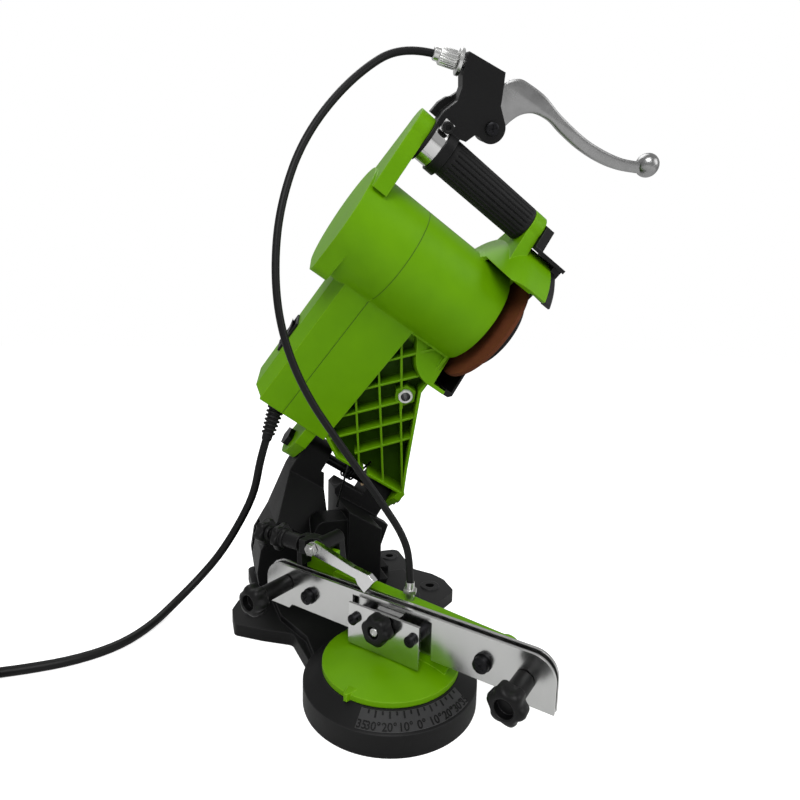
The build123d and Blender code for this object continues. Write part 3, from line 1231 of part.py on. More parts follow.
def report_tube(name, radii, radius, volume, length):
    """Prints a tube's least arc and compares its volume with its section times its length."""
    print(name, "radii", [round(r, 1) for r in radii])
    print(name, "length", round(length, 1), "volume ratio", round(volume / (math.pi * radius ** 2 * length), 5))


cable_start = adjuster_plane.offset(cable_in).origin
cable_end = rail_dir * ferrule_at + rail_normal * ferrule_off + Vector(0, 0, cable_seat)
cable_route = [
    cable_start,
    adjuster_plane.offset(cable_in + 30).origin,
    Vector(-20, 48, 407),
    Vector(-52, 42, 365),
    Vector(-68, 35, 321),
    Vector(-72.5, 30, 280),
    Vector(-69, 26, 243),
    Vector(-55.5, 22, 206),
    Vector(-31, 18, 169),
    Vector(-6, 12, 133),
    Vector(10, 4, 107),
    Vector(cable_end.X, cable_end.Y, 86),
    cable_end,
]
cable_radii = route_radii(cable_route)
with BuildPart() as brake_cable:
    with BuildLine() as cable_path:
        FilletPolyline(*cable_route, radius=cable_radii)
    with BuildSketch(Plane(origin=cable_path.line @ 0, z_dir=cable_path.line % 0)):
        Circle(cable_radius)
    sweep(path=cable_path.line)
report_tube("brake cable", cable_radii, cable_radius, brake_cable.part.volume, cable_path.wire().length)
brake_cable.part.label = "brake_cable"
export_step(brake_cable.part, "parts/brake_cable.step")

# Strain relief: a tapered sleeve with ribs, straight for a stretch at both ends.
relief_length = (relief_end - gland_point).length
relief_tip = 6.0
relief_ribs = 6
relief_lead = 7.0
rib_pitch = (relief_length - 2 * relief_lead) / relief_ribs
with BuildPart() as strain_relief:
    sections = [(-5.0, relief_root), (relief_lead, relief_root)]
    for rib in range(relief_ribs):
        low = relief_lead + rib * rib_pitch
        share = rib / (relief_ribs - 1)
        crest = relief_root + (relief_tip - relief_root) * share
        groove = crest - 1.5
        sections += [(low + 0.22 * rib_pitch, groove), (low + 0.44 * rib_pitch, groove),
                     (low + 0.62 * rib_pitch, crest), (low + 0.98 * rib_pitch, crest)]
    sections.append((relief_length, relief_tip))
    for along, radius in sections:
        with BuildSketch(Plane(origin=gland_point + gland_dir * along, x_dir=(1, 0, 0.3), z_dir=gland_dir)):
            Circle(radius)
    loft(ruled=True)
strain_relief.part.label = "strain_relief"
export_step(strain_relief.part, "parts/strain_relief.step")

# Power cord: hangs from the strain relief, reaches the floor and runs to its coil.
cord_radius = 3.5
coil_centre = Vector(-297, 47, 0)
coil_outer = 51.0
coil_step = 8.8         # drawn in with each turn
coil_rise = 7.6         # from the lower layer to the upper
spiral_turns = 2.625
climb_turns = 0.5
coil_turns = 2 * (spiral_turns + climb_turns)
plug_half = 9.0


def coil_point(turns):
    """A point of the piled coil: in along the floor, up a layer, out again and off to the plug."""
    inner = coil_outer - coil_step * spiral_turns
    radius = max(inner, coil_outer - coil_step * turns)
    height = cord_radius + coil_rise * min(1.0, max(0.0, (turns - spiral_turns) / climb_turns))
    back_out = turns - spiral_turns - climb_turns
    if back_out > 0:
        radius = inner + coil_step * min(back_out, spiral_turns)
    last = (back_out - spiral_turns) / climb_turns
    if last > 0:
        radius = coil_outer + coil_step * last
        height -= (cord_radius + coil_rise - plug_half - 0.3) * max(0.0, 2 * last - 1)
    angle = math.pi / 2 + math.tau * turns
    return coil_centre + Vector(radius * math.cos(angle), radius * math.sin(angle), height)


def coil_direction(turns):
    """The coil's direction there; level where it starts and where it ends."""
    before = max(0.0, turns - 0.06)
    after = min(coil_turns, turns + 0.06)
    along = coil_point(after) - coil_point(before)
    if turns in (0.0, coil_turns):
        angle = math.pi / 2 + math.tau * turns
        along = Vector(-math.sin(angle), math.cos(angle), 0)
    return along.normalized()


cord_route = [
    relief_end,
    relief_end + gland_dir * 18,
    Vector(-72.5, 169, 97),
    Vector(-84, 169.5, 72),
    Vector(-101.4, 170, 43),
    Vector(-120, 168, 22.4),
    Vector(-141, 156, 7.5),
    Vector(-158, 131, cord_radius),
    Vector(-178, 108, cord_radius),
    Vector(-206, 97, cord_radius),
    Vector(-238, 95.5, cord_radius),
    Vector(-269, 98, cord_radius),
    coil_point(0.0),
]
cord_radii = route_radii(cord_route)
with BuildPart() as power_cord:
    with BuildLine() as cord_path:
        FilletPolyline(*cord_route, radius=cord_radii)
    with BuildSketch(Plane(origin=cord_path.line @ 0, z_dir=cord_path.line % 0)):
        Circle(cord_radius)
    sweep(path=cord_path.line)
report_tube("power cord", cord_radii, cord_radius, power_cord.part.volume, cord_path.wire().length)
power_cord.part.label = "power_cord"
export_step(power_cord.part, "parts/power_cord.step")

quarters = round(coil_turns * 4)
with BuildPart() as cord_coil:
    with BuildLine() as coil_path:
        for quarter in range(quarters):
            here = coil_turns * quarter / quarters
            there = coil_turns * (quarter + 1) / quarters
            biarc(coil_point(here), coil_direction(here), coil_point(there), coil_direction(there))
    with BuildSketch(Plane(origin=coil_path.line @ 0, z_dir=coil_path.line % 0)):
        Circle(cord_radius)
    sweep(path=coil_path.line)
cord_coil.part.label = "cord_coil"
export_step(cord_coil.part, "parts/cord_coil.step")
coil_samples = [coil_path.line @ (i / 360) for i in range(361)]
print("cord coil: least gap between turns", round(least_gap(coil_samples, 2 * cord_radius, 24), 2), "mm, length",
      round(coil_path.wire().length, 1), "volume ratio",
      round(cord_coil.part.volume / (math.pi * cord_radius ** 2 * coil_path.wire().length), 5))

# Plug: a two-pin moulded plug that lies across the coil.
plug_length = 34.0
pin_spacing = 19.0
pin_length = 19.0
plug_dir = coil_direction(coil_turns)
plug_plane = Plane(origin=coil_point(coil_turns), x_dir=plug_dir.cross(Vector(0, 0, 1)) * -1, z_dir=plug_dir)
with BuildPart() as plug:
    for along, width, height in ((0.0, 10.0, 10.0), (10.0, 16.0, 12.0), (plug_length - 4, 30.0, 2 * plug_half),
                                 (plug_length, 30.0, 2 * plug_half)):
        with BuildSketch(plug_plane.offset(along)) as plug_section:
            RectangleRounded(width, height, 4.0)
    loft(ruled=True)
    for side in (-pin_spacing / 2, pin_spacing / 2):
        disc(plug_plane.offset(plug_length), 2.0, pin_length, at=(side, 0))
plug.part.label = "plug"
export_step(plug.part, "parts/plug.step")
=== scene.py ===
import math

import bmesh
import bpy
from mathutils import Matrix, Vector


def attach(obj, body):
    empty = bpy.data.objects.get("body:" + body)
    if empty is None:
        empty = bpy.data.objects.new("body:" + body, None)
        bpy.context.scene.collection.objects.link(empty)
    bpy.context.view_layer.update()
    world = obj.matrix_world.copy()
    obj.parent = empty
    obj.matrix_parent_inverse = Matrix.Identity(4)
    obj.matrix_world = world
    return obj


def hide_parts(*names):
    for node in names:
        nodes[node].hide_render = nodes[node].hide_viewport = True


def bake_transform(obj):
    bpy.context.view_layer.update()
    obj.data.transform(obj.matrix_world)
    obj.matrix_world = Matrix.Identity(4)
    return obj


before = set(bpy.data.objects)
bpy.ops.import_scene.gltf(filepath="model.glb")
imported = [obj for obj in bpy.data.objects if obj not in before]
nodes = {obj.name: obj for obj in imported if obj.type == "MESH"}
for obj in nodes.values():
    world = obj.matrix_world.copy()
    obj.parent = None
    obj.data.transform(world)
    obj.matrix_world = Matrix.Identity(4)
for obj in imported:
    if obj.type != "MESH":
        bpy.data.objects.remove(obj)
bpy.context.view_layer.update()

# ---------------------------------------------------------------------------------------
# Camera: where the photograph was taken from, a step in front of the sharpener and a
# little to its left, with the picture turned by a degree and a half.
# ---------------------------------------------------------------------------------------
eye = Vector((-0.1185, -0.3322, 0.2535))
looking = (Vector((0.0162, 0.0400, 0.1958)) - eye).normalized()
picture_turn = math.radians(1.56)
level_side = looking.cross(Vector((0, 0, 1))).normalized()
picture_up = level_side.cross(looking) * math.cos(picture_turn) - level_side * math.sin(picture_turn)
picture_side = looking.cross(picture_up)
camera = bpy.data.objects.new("camera", bpy.data.cameras.new("camera"))
camera.data.lens = 25.4
camera.data.sensor_width = 36.0
camera.data.clip_start = 0.01
camera_axes = Matrix((picture_side, picture_up, -looking)).transposed()
camera.matrix_world = Matrix.Translation(eye) @ camera_axes.to_4x4()
bpy.context.scene.collection.objects.link(camera)
bpy.context.scene.camera = camera

# ---------------------------------------------------------------------------------------
# Base plate: one black-painted die casting with a faint skin and a painted highlight on its
# edges. Its scale is cast in the sloping ring: a shallow panel, ticks and the numbers of the
# cutting angle.
# ---------------------------------------------------------------------------------------
class Finish:
    """A socket of a node tree that Python arithmetic can be written on."""

    def __init__(self, tree, socket=None):
        self.tree = tree
        self.socket = socket

    def node(self, kind, settings, feeds, output=0):
        """Adds a node: its settings first, then the values or links of its sockets."""
        made = self.tree.nodes.new(kind)
        for setting, value in settings.items():
            setattr(made, setting, value)
        for feed, value in feeds.items():
            for one in value if isinstance(value, list) else [value]:
                if isinstance(one, Finish):
                    self.tree.links.new(one.socket, made.inputs[feed])
                else:
                    made.inputs[feed].default_value = one
        return Finish(self.tree, made.outputs[output])

    def maths(self, operation, first, second):
        return self.node("ShaderNodeMath", {"operation": operation}, {0: first, 1: second})

    def __add__(self, other):
        return self.maths("ADD", self, other)

    __radd__ = __add__

    def __sub__(self, other):
        return self.maths("SUBTRACT", self, other)

    def __rsub__(self, other):
        return self.maths("SUBTRACT", other, self)

    def __mul__(self, other):
        return self.maths("MULTIPLY", self, other)

    __rmul__ = __mul__

    def __truediv__(self, other):
        return self.maths("DIVIDE", self, other)

    def kept(self, low, high):
        """The value held between two numbers."""
        return self.maths("MINIMUM", self.maths("MAXIMUM", self, low), high)

    def blended(self, first, second):
        """Goes from the first colour to the second as this value goes from 0 to 1."""
        return self.node("ShaderNodeMix", {"data_type": "RGBA"}, {0: self, 6: first, 7: second}, 2)

    def into(self, shader, socket):
        self.tree.links.new(self.socket, shader.inputs[socket])


def new_finish(name):
    """A material, a handle on its tree, its shader and the place on the object."""
    material = bpy.data.materials.new(name)
    material.use_nodes = True
    skin = Finish(material.node_tree)
    shader = material.node_tree.nodes["Principled BSDF"]
    place = skin.node("ShaderNodeTexCoord", {}, {}, 3)
    return material, skin, shader, place


def noise(skin, place, scale, detail, stretch=None):
    """Even noise over the surface, drawn out along an axis where stretch says so."""
    if stretch:
        place = skin.node("ShaderNodeMapping", {}, {0: place, 2: stretch[0], 3: stretch[1]})
    return skin.node("ShaderNodeTexNoise", {}, {"Vector": place, "Scale": scale, "Detail": detail})


mm = 0.001


def moulded(name, colour, dark, highlight_colour, roughness, grain, rounding, relief=0.04, highlight_strength=1.0, shine=0.2):
    """A moulded or cast skin: drifting colour, fine grain and a painted highlight on its rounded edges."""
    material, skin, shader, place = new_finish(name)
    drift = noise(skin, place, 30.0, 4.0)
    speck = noise(skin, place, grain, 3.0)
    rounded = skin.node("ShaderNodeBevel", {"samples": 6}, {"Radius": rounding})
    facing = skin.node("ShaderNodeNewGeometry", {}, {}, 1)
    agreement = skin.node("ShaderNodeVectorMath", {"operation": "DOT_PRODUCT"}, {0: rounded, 1: facing}, 1)
    turned_away = 1.0 - agreement
    # Painted highlight: where the bevel turns the normal away, the colour goes to the lighter edge colour.
    edge = (turned_away * 7.0 * highlight_strength * (0.45 + drift)).kept(0.0, 1.0)
    body = ((drift - 0.35) * 2.2).kept(0.0, 1.0).blended((*dark, 1.0), (*colour, 1.0))
    edge.blended(body, (*highlight_colour, 1.0)).into(shader, "Base Color")
    (roughness - 0.10 + 0.12 * drift + 0.10 * speck - 0.08 * edge).into(shader, "Roughness")
    skin.node("ShaderNodeBump", {}, {"Strength": 0.35, "Distance": relief * mm, "Height": speck,
                                     "Normal": rounded}).into(shader, "Normal")
    shader.inputs["Specular IOR Level"].default_value = shine
    return material


def piece(name, corners, faces, finish, sharp=35.0):
    """A mesh of these corners and faces, smooth but for its sharp edges."""
    mesh = bpy.data.meshes.new(name)
    mesh.from_pydata([tuple(corner) for corner in corners], [], faces)
    mesh.shade_smooth()
    mesh.set_sharp_from_angle(angle=math.radians(sharp))
    mesh.materials.append(finish)
    shown = bpy.data.objects.new(name, mesh)
    bpy.context.scene.collection.objects.link(shown)
    return shown


def skinned(name, loops, finish, sharp=35.0):
    """A closed skin over a row of loops that have as many points each."""
    count = len(loops[0])
    corners = [corner for loop in loops for corner in loop]
    faces = []
    for row in range(len(loops) - 1):
        low, high = row * count, (row + 1) * count
        faces += [(low + i, low + (i + 1) % count, high + (i + 1) % count, high + i) for i in range(count)]
    faces.append(tuple(reversed(range(count))))
    faces.append(tuple(range(len(corners) - count, len(corners))))
    return piece(name, corners, faces, finish, sharp)


def paint(finish, *names):
    """Gives CAD nodes this finish."""
    for name in names:
        nodes[name].data.materials.clear()
        nodes[name].data.materials.append(finish)


black_cast = moulded("black_casting", (0.0050, 0.0050, 0.0053), (0.0030, 0.0030, 0.0032),
                     (0.026, 0.026, 0.027), 0.48, 700.0, 0.0014, relief=0.10)
paint(black_cast, "base_plate")
seat_radius = 0.0586
seat_rim = 0.0146
ring_radius = 0.0465
seat_height = 0.0225
ring_slope = math.atan2(seat_height - seat_rim, seat_radius - ring_radius)
scale_zero = math.radians(-89.0)
scale_finish = moulded("scale_panel", (0.042, 0.042, 0.043), (0.032, 0.032, 0.033), (0.09, 0.09, 0.09), 0.45,
                       700.0, 0.0004)
marking = moulded("scale_marks", (0.0020, 0.0020, 0.0020), (0.0015, 0.0015, 0.0015), (0.01, 0.01, 0.01), 0.35,
                  700.0, 0.0001)


def on_ring(radius, angle, proud):
    """A point over the sloping ring, so far proud of it."""
    out = radius + proud * math.sin(ring_slope)
    height = seat_rim + (seat_radius - radius) * math.tan(ring_slope) + proud * math.cos(ring_slope)
    return Vector((out * math.cos(angle), out * math.sin(angle), height))


panel_proud = 0.00022
panel_sunk = -0.0003
panel_inner = 0.0474
panel_outer = 0.0572
panel_from = -41.0
panel_sweep = 80.0
panel_steps = 60
panel_loops = []
for step in range(panel_steps + 1):
    angle = scale_zero + math.radians(panel_from + panel_sweep * step / panel_steps)
    panel_loops.append([on_ring(panel_inner, angle, panel_sunk), on_ring(panel_outer, angle, panel_sunk),
                        on_ring(panel_outer, angle, panel_proud), on_ring(panel_inner, angle, panel_proud)])
scale_panel = skinned("scale_panel", panel_loops, scale_finish)
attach(scale_panel, "base")


def grown(name, tree, values, seed=None):
    """The mesh that a tree of geometry nodes makes from these values."""
    holder = bpy.data.objects.new(name, seed or bpy.data.meshes.new(name))
    bpy.context.scene.collection.objects.link(holder)
    modifier = holder.modifiers.new(name, "NODES")
    modifier.node_group = tree
    for item in tree.interface.items_tree:
        if item.in_out == "INPUT" and item.name in values:
            modifier[item.identifier] = values[item.name]
    bpy.context.view_layer.update()
    drawn = holder.evaluated_get(bpy.context.evaluated_depsgraph_get())
    mesh = bpy.data.meshes.new_from_object(drawn)
    bpy.data.objects.remove(holder)
    shown = bpy.data.objects.new(name, mesh)
    bpy.context.scene.collection.objects.link(shown)
    return shown


def new_tree(name, inputs):
    """A tree of geometry nodes with named inputs, a handle on it and its inputs' sockets."""
    tree = bpy.data.node_groups.new(name, "GeometryNodeTree")
    tree.interface.new_socket("Geometry", in_out="OUTPUT", socket_type="NodeSocketGeometry")
    for label, kind in inputs:
        tree.interface.new_socket(label, in_out="INPUT", socket_type="NodeSocket" + kind)
    handle = Finish(tree)
    entry = tree.nodes.new("NodeGroupInput")
    return tree, handle, {label: Finish(tree, entry.outputs[label]) for label, kind in inputs}


def close_tree(handle, geometry, finish):
    """Ends a tree in real geometry of one finish."""
    real = handle.node("GeometryNodeRealizeInstances", {}, {0: geometry})
    painted = handle.node("GeometryNodeSetMaterial", {}, {"Geometry": real, "Material": finish})
    exit_node = handle.tree.nodes.new("NodeGroupOutput")
    handle.tree.links.new(painted.socket, exit_node.inputs[0])


tick_sizes = ("First", "Step", "Radius", "Height", "Slope", "Short", "Long", "Wide")
tick_inputs = [("Count", "Int")] + [(label, "Float") for label in tick_sizes]
tick_tree, tick, given = new_tree("scale_ticks", tick_inputs + [("Finish", "Material")])
index = tick.node("GeometryNodeInputIndex", {}, {})
tick_angle = given["First"] + given["Step"] * index
tick_place = tick.node("ShaderNodeCombineXYZ", {}, {
    0: given["Radius"] * tick.maths("COSINE", tick_angle, 0.0),
    1: given["Radius"] * tick.maths("SINE", tick_angle, 0.0),
    2: given["Height"]})
tick_points = tick.node("GeometryNodePoints", {}, {"Count": given["Count"], "Position": tick_place})
tick_long = given["Short"] + (given["Long"] - given["Short"]) * tick.maths("MODULO", index, 2.0)
unit = tick.node("GeometryNodeTransform", {}, {
    0: tick.node("GeometryNodeMeshCube", {}, {"Size": (1.0, 1.0, 1.0)}), "Translation": (0.5, 0.0, 0.0)})
placed = tick.node("GeometryNodeInstanceOnPoints", {}, {
    "Points": tick_points, "Instance": unit,
    "Rotation": tick.node("ShaderNodeCombineXYZ", {}, {1: given["Slope"], 2: tick_angle}),
    "Scale": tick.node("ShaderNodeCombineXYZ", {}, {0: tick_long, 1: given["Wide"], 2: 0.0006})})
close_tree(tick, placed, given["Finish"])
tick_start = on_ring(0.0476, 0.0, panel_proud - 0.0001)
scale_end = 35.0
tick_degrees = 5.0
scale_ticks = grown("scale_ticks", tick_tree, {
    "Count": round(2 * scale_end / tick_degrees) + 1, "First": scale_zero - math.radians(scale_end),
    "Step": math.radians(tick_degrees), "Radius": tick_start.x,
    "Height": tick_start.z, "Slope": ring_slope, "Short": 0.0022, "Long": 0.0040, "Wide": 0.0011,
    "Finish": marking})
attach(scale_ticks, "base")

number_height = 0.0066
number_relief = 0.00012
number_mesh = bmesh.new()
numbers = (("35", -37.6), ("30°", -30.4), ("20°", -20.2), ("10°", -10.0), ("0°", 0.2), ("10°", 10.2),
           ("20°", 20.4), ("30°", 30.2), ("35", 37.0))
for label, degrees in numbers:
    writing = bpy.data.curves.new("number", "FONT")
    writing.body = label
    writing.size = number_height
    writing.offset = number_relief
    writing.extrude = number_relief
    writing.align_x = "CENTER"
    holder = bpy.data.objects.new("number", writing)
    bpy.context.scene.collection.objects.link(holder)
    drawn = bpy.data.meshes.new_from_object(holder)
    bpy.data.objects.remove(holder)
    angle = scale_zero + math.radians(degrees)
    along = Vector((-math.sin(angle), math.cos(angle), 0.0))
    upward = Vector((-math.cos(angle) * math.cos(ring_slope), -math.sin(angle) * math.cos(ring_slope),
                     math.sin(ring_slope)))
    drawn.transform(Matrix.Translation(on_ring(0.0567, angle, panel_proud + 0.0001))
                    @ Matrix((along, upward, along.cross(upward))).transposed().to_4x4())
    number_mesh.from_mesh(drawn)
drawn = bpy.data.meshes.new("scale_numbers")
number_mesh.to_mesh(drawn)
number_mesh.free()
drawn.materials.append(marking)
scale_numbers = bpy.data.objects.new("scale_numbers", drawn)
bpy.context.scene.collection.objects.link(scale_numbers)
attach(scale_numbers, "base")

# ---------------------------------------------------------------------------------------
# Pivot column, hinge and lifting spring: a second casting, screwed up from below, with
# bronze sleeves round a steel pin. The spring is black music wire, wound round the pin.
# ---------------------------------------------------------------------------------------
def metal(name, colour, roughness, scale, stretch=None, rounding=0.0005, relief=0.02, dark=0.75, spots=0.35):
    """Bare metal: brushed or scuffed along one way, with its edges broken."""
    material, skin, shader, place = new_finish(name)
    brushed = noise(skin, place, scale, 3.0, stretch)
    cloud = noise(skin, place, 45.0, 3.0)
    rounded = skin.node("ShaderNodeBevel", {"samples": 4}, {"Radius": rounding})
    deep = tuple(channel * dark for channel in colour)
    (brushed * 0.5 + cloud * 0.5).blended((*deep, 1.0), (*colour, 1.0)).into(shader, "Base Color")
    (roughness - 0.08 + brushed * 0.10 + (cloud - 0.4) * spots).kept(0.05, 0.9).into(shader, "Roughness")
    skin.node("ShaderNodeBump", {}, {"Strength": 0.25, "Distance": relief * mm, "Height": brushed,
                                     "Normal": rounded}).into(shader, "Normal")
    shader.inputs["Metallic"].default_value = 1.0
    return material


steel = metal("zinc_steel", (0.62, 0.62, 0.61), 0.30, 400.0)
dark_steel = metal("blackened_steel", (0.022, 0.022, 0.024), 0.40, 500.0)
column_cast = moulded("column_casting", (0.0028, 0.0028, 0.0030), (0.0016, 0.0016, 0.0018),
                      (0.016, 0.016, 0.017), 0.50, 700.0, 0.0014, relief=0.10, shine=0.14)
bronze = metal("sleeve_bronze", (0.45, 0.30, 0.14), 0.35, 400.0)
paint(column_cast, "pivot_column")
paint(steel, "column_screws", "spindle_stud", "spindle_nut")
paint(dark_steel, "pivot_pin", "pivot_nut")
paint(bronze, "left_sleeve", "right_sleeve")

head_tilt = math.radians(32.0)
head_lean = math.radians(115.0)
back_dir = Vector((0, 1, 0))
across_dir = Vector((math.cos(head_tilt), 0.0, -math.sin(head_tilt)))
rise_dir = Vector((math.sin(head_tilt), 0.0, math.cos(head_tilt)))
reach_dir = back_dir * math.cos(head_lean) + rise_dir * math.sin(head_lean)
front_dir = back_dir * -math.sin(head_lean) + rise_dir * math.cos(head_lean)
pivot = Vector((0.0, 0.1887, 0.0680)) + rise_dir * 0.0409


def head_point(a, s, q):
    """A point in the head, in millimetres: a across it, s from the hinge to the wheel, q to the front."""
    return pivot + (across_dir * a + reach_dir * s + front_dir * q) * mm


def tube(name, line, radius, finish, sides=16):
    """A closed round tube that follows a line of points."""
    loops = []
    cross = (line[1] - line[0]).orthogonal().normalized()
    for i, place in enumerate(line):
        ahead = (line[min(i + 1, len(line) - 1)] - line[max(i - 1, 0)]).normalized()
        cross = (cross - ahead * cross.dot(ahead)).normalized()
        other = ahead.cross(cross)
        turns = [math.tau * side / sides for side in range(sides)]
        loops.append([place + (cross * math.cos(turn) + other * math.sin(turn)) * radius for turn in turns])
    return skinned(name, loops, finish)


spring_radius = 0.0074
spring_pitch = 0.0029
spring_from = math.radians(205.0)
spring_to = math.radians(135.0 + 360.0 * 4)
spring_start = 0.002
spring_steps = 120
upper_leg = 0.026
lower_leg = 0.053
spring_line = []
for step in range(spring_steps + 1):
    turn = spring_from + (spring_to - spring_from) * step / spring_steps
    sideways = spring_start - spring_pitch * (turn - spring_from) / math.tau
    spring_line.append(pivot + across_dir * sideways
                       + (back_dir * math.cos(turn) + rise_dir * math.sin(turn)) * spring_radius)
leg_up = (spring_line[0] - spring_line[1]).normalized()
leg_down = (spring_line[-1] - spring_line[-2]).normalized()
spring_line = ([spring_line[0] + leg_up * upper_leg * (1 - step / 6) for step in range(6)] + spring_line
               + [spring_line[-1] + leg_down * lower_leg * (step + 1) / 8 for step in range(8)])
torsion_spring = tube("lifting_spring", spring_line, 0.001, dark_steel, 12)
head_point(-9.5, 0, 0)
head_point(1.5, 0, 0)
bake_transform(torsion_spring)
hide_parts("torsion_spring")

# ---------------------------------------------------------------------------------------
# Turntable: the vise body is moulded in lime-green glass-filled nylon, and carries two
# polished steel rail plates that are held by black cross-head screws.
# ---------------------------------------------------------------------------------------
green_plastic = moulded("lime_green_plastic", (0.142, 0.350, 0.0), (0.118, 0.306, 0.0), (0.24, 0.50, 0.02),
                        0.44, 650.0, 0.0012, relief=0.06, highlight_strength=0.5, shine=0.12)
rail_swing = math.radians(53.0)
rail_dir = Vector((math.cos(rail_swing), -math.sin(rail_swing), 0.0))
rail_normal = Vector((-math.sin(rail_swing), -math.cos(rail_swing), 0.0))


def rail_point(along, height, off):
    """A point of the rail, in millimetres: along it, above the table and out of its face."""
    return (rail_dir * along + rail_normal * off + Vector((0, 0, height))) * mm


# The brushing runs along the rail: its noise is turned with it and drawn out.
along_rail = ((0.0, 0.0, rail_swing), (4.0, 260.0, 90.0))
polished = metal("polished_rail_steel", (0.66, 0.66, 0.655), 0.20, 1.0, along_rail, rounding=0.0003,
                 spots=0.25)
bridge_steel = metal("polished_bridge_steel", (0.72, 0.72, 0.715), 0.16, 1.0, along_rail, rounding=0.0003,
                     spots=0.2)
paint(green_plastic, "vise_body")
paint(polished, "rail_front", "rail_rear")
paint(bridge_steel, "clamp_bridge", "chain_jaw")
paint(steel, "rail_nuts", "cable_ferrule")
paint(dark_steel, "rail_screws", "bridge_screws", "rail_spacers", "bridge_spacers")


def turned(name, start, axis, profile, finish, sides, shape=None, sharp=35.0):
    """A turned form; its profile is (along, radius) pairs in millimetres, and shape cuts into its rim."""
    cross = axis.orthogonal().normalized()
    other = axis.cross(cross)
    loops = []
    for row, (along, radius) in enumerate(profile):
        loop = []
        for side in range(sides):
            turn = math.tau * side / sides
            reach = radius * (shape(row, turn) if shape else 1.0) * mm
            out = cross * math.cos(turn) + other * math.sin(turn)
            loop.append(start + axis * (along * mm) + out * reach)
        loops.append(loop)
    return skinned(name, loops, finish, sharp)


# Pan heads with a cross recess stand over the screws of the rails, the bridge, the guard and the lever.
screw_tree, screw, given = new_tree("cross_heads", [
    ("Geometry", "Geometry"), ("Head", "Object"), ("Top", "Float"), ("Slot", "Vector"),
    ("Turned slot", "Vector"), ("Finish", "Material")])
head_form = screw.node("GeometryNodeObjectInfo", {}, {"Object": given["Head"]}, "Geometry")
lift = screw.node("ShaderNodeCombineXYZ", {}, {2: given["Top"]})
slots = [screw.node("GeometryNodeTransform", {}, {
    0: screw.node("GeometryNodeMeshCube", {}, {"Size": given[label]}), "Translation": lift})
    for label in ("Slot", "Turned slot")]
crossed = screw.node("GeometryNodeMeshBoolean", {"operation": "DIFFERENCE"}, {0: head_form, 1: slots})
facing = screw.node("GeometryNodeInputNamedAttribute", {"data_type": "FLOAT_VECTOR"}, {"Name": "facing"})
turn_to = screw.node("FunctionNodeAlignRotationToVector", {"axis": "Z"}, {"Vector": facing})
heads = screw.node("GeometryNodeInstanceOnPoints", {}, {"Points": given["Geometry"], "Instance": crossed,
                                                       "Rotation": turn_to})
close_tree(screw, heads, given["Finish"])


def cross_heads(name, body, places, radius, height):
    """Cross-recessed heads of black steel, at places that are given as (point, direction)."""
    profile = [(0.0, radius), (height * 0.35, radius), (height * 0.7, radius * 0.86),
               (height * 0.92, radius * 0.6), (height, radius * 0.3), (height, 0.02)]
    form = turned(name + "_form", Vector(), Vector((0, 0, 1)), profile, dark_steel, 32)
    seed = bpy.data.meshes.new(name)
    seed.from_pydata([tuple(point) for point, direction in places], [], [])
    seed.attributes.new("facing", "FLOAT_VECTOR", "POINT")
    for item, (point, direction) in zip(seed.attributes["facing"].data, places):
        item.vector = direction
    long, wide, deep = radius * 1.15 * mm, radius * 0.27 * mm, height * 0.9 * mm
    shown = grown(name, screw_tree, {"Head": form, "Top": height * mm, "Slot": (long, wide, deep),
                                     "Turned slot": (wide, long, deep), "Finish": dark_steel}, seed)
    bpy.data.objects.remove(form)
    shown.data.shade_smooth()
    shown.data.set_sharp_from_angle(angle=math.radians(35.0))
    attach(shown, body)


rail_screws = [(rail_point(along, 51, 8.3), rail_normal) for along in (-69, 69)]
bridge_screws = [(rail_point(along, 52, 13.5), rail_normal) for along in (-22.5, 22.5)]
cross_heads("rail_screw_heads", "vise", rail_screws, 5.05, 1.6)
cross_heads("bridge_screw_heads", "vise", bridge_screws, 3.7, 1.7)

# ---------------------------------------------------------------------------------------
# Hand knobs: black moulded knobs with six scallops and a hollow end, on sleeves and
# threaded rods. The middle one clamps the chain, the two at the ends draw the rail's plates
# together, and the two on the left set and lock the chain stop.
# ---------------------------------------------------------------------------------------
knob_plastic = moulded("knob_plastic", (0.0048, 0.0048, 0.0050), (0.0030, 0.0030, 0.0032),
                       (0.022, 0.022, 0.023), 0.40, 800.0, 0.0008, relief=0.05)
lobes = 6
scallop_radius = 7.6
scallop_full = 10.5
scallop_depth = 0.17


def scalloped(profile):
    """Cuts scallops into the rows of a profile that lie outside the scallops' inner radius."""
    def shape(row, turn):
        share = max(0.0, (profile[row][1] - scallop_radius) / (scallop_full - scallop_radius))
        return 1.0 - scallop_depth * min(1.0, share) * ((1 + math.cos(lobes * turn)) / 2) ** 1.3
    return shape


def knob(name, start, axis, profile, body):
    """A hand knob on its rod or sleeve; it stands for the CAD node of this name."""
    form = turned(name + "_grip", start, axis, profile, knob_plastic, 72, scalloped(profile))
    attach(form, body)
    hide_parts(name)


for name, along, height, back in (("left_rail_knob", -92, 54.5, 31.0), ("right_rail_knob", 95, 50.0, 23.0)):
    knob(name, rail_point(along, height, back), rail_normal, [
        (-back - 9.0, 0.05), (-back - 9.0, 3.6), (-back - 8.4, 4.0), (4.4 - back, 4.0), (4.4 - back, 5.6),
        (4.9 - back, 6.0), (-2.4, 6.0), (-1.4, 6.8), (-0.2, 7.2), (0.8, 9.8), (1.8, 11.0), (7.6, 11.4),
        (9.6, 10.8), (11.0, 9.4), (11.8, 7.6), (12.0, 6.4), (11.6, 5.6), (7.0, 5.3), (7.0, 0.05)], name)
knob("clamp_knob", rail_point(0, 54, 11.4), rail_normal, [
    (-6.7, 0.05), (-6.7, 2.6), (-6.3, 3.0), (0.0, 3.0), (0.0, 8.4), (0.8, 9.9), (2.0, 10.4), (7.6, 10.4),
    (9.2, 9.8), (10.2, 8.6), (10.5, 7.2), (10.5, 4.6), (10.1, 4.1), (7.2, 4.0), (7.2, 0.05)], "clamp_knob")
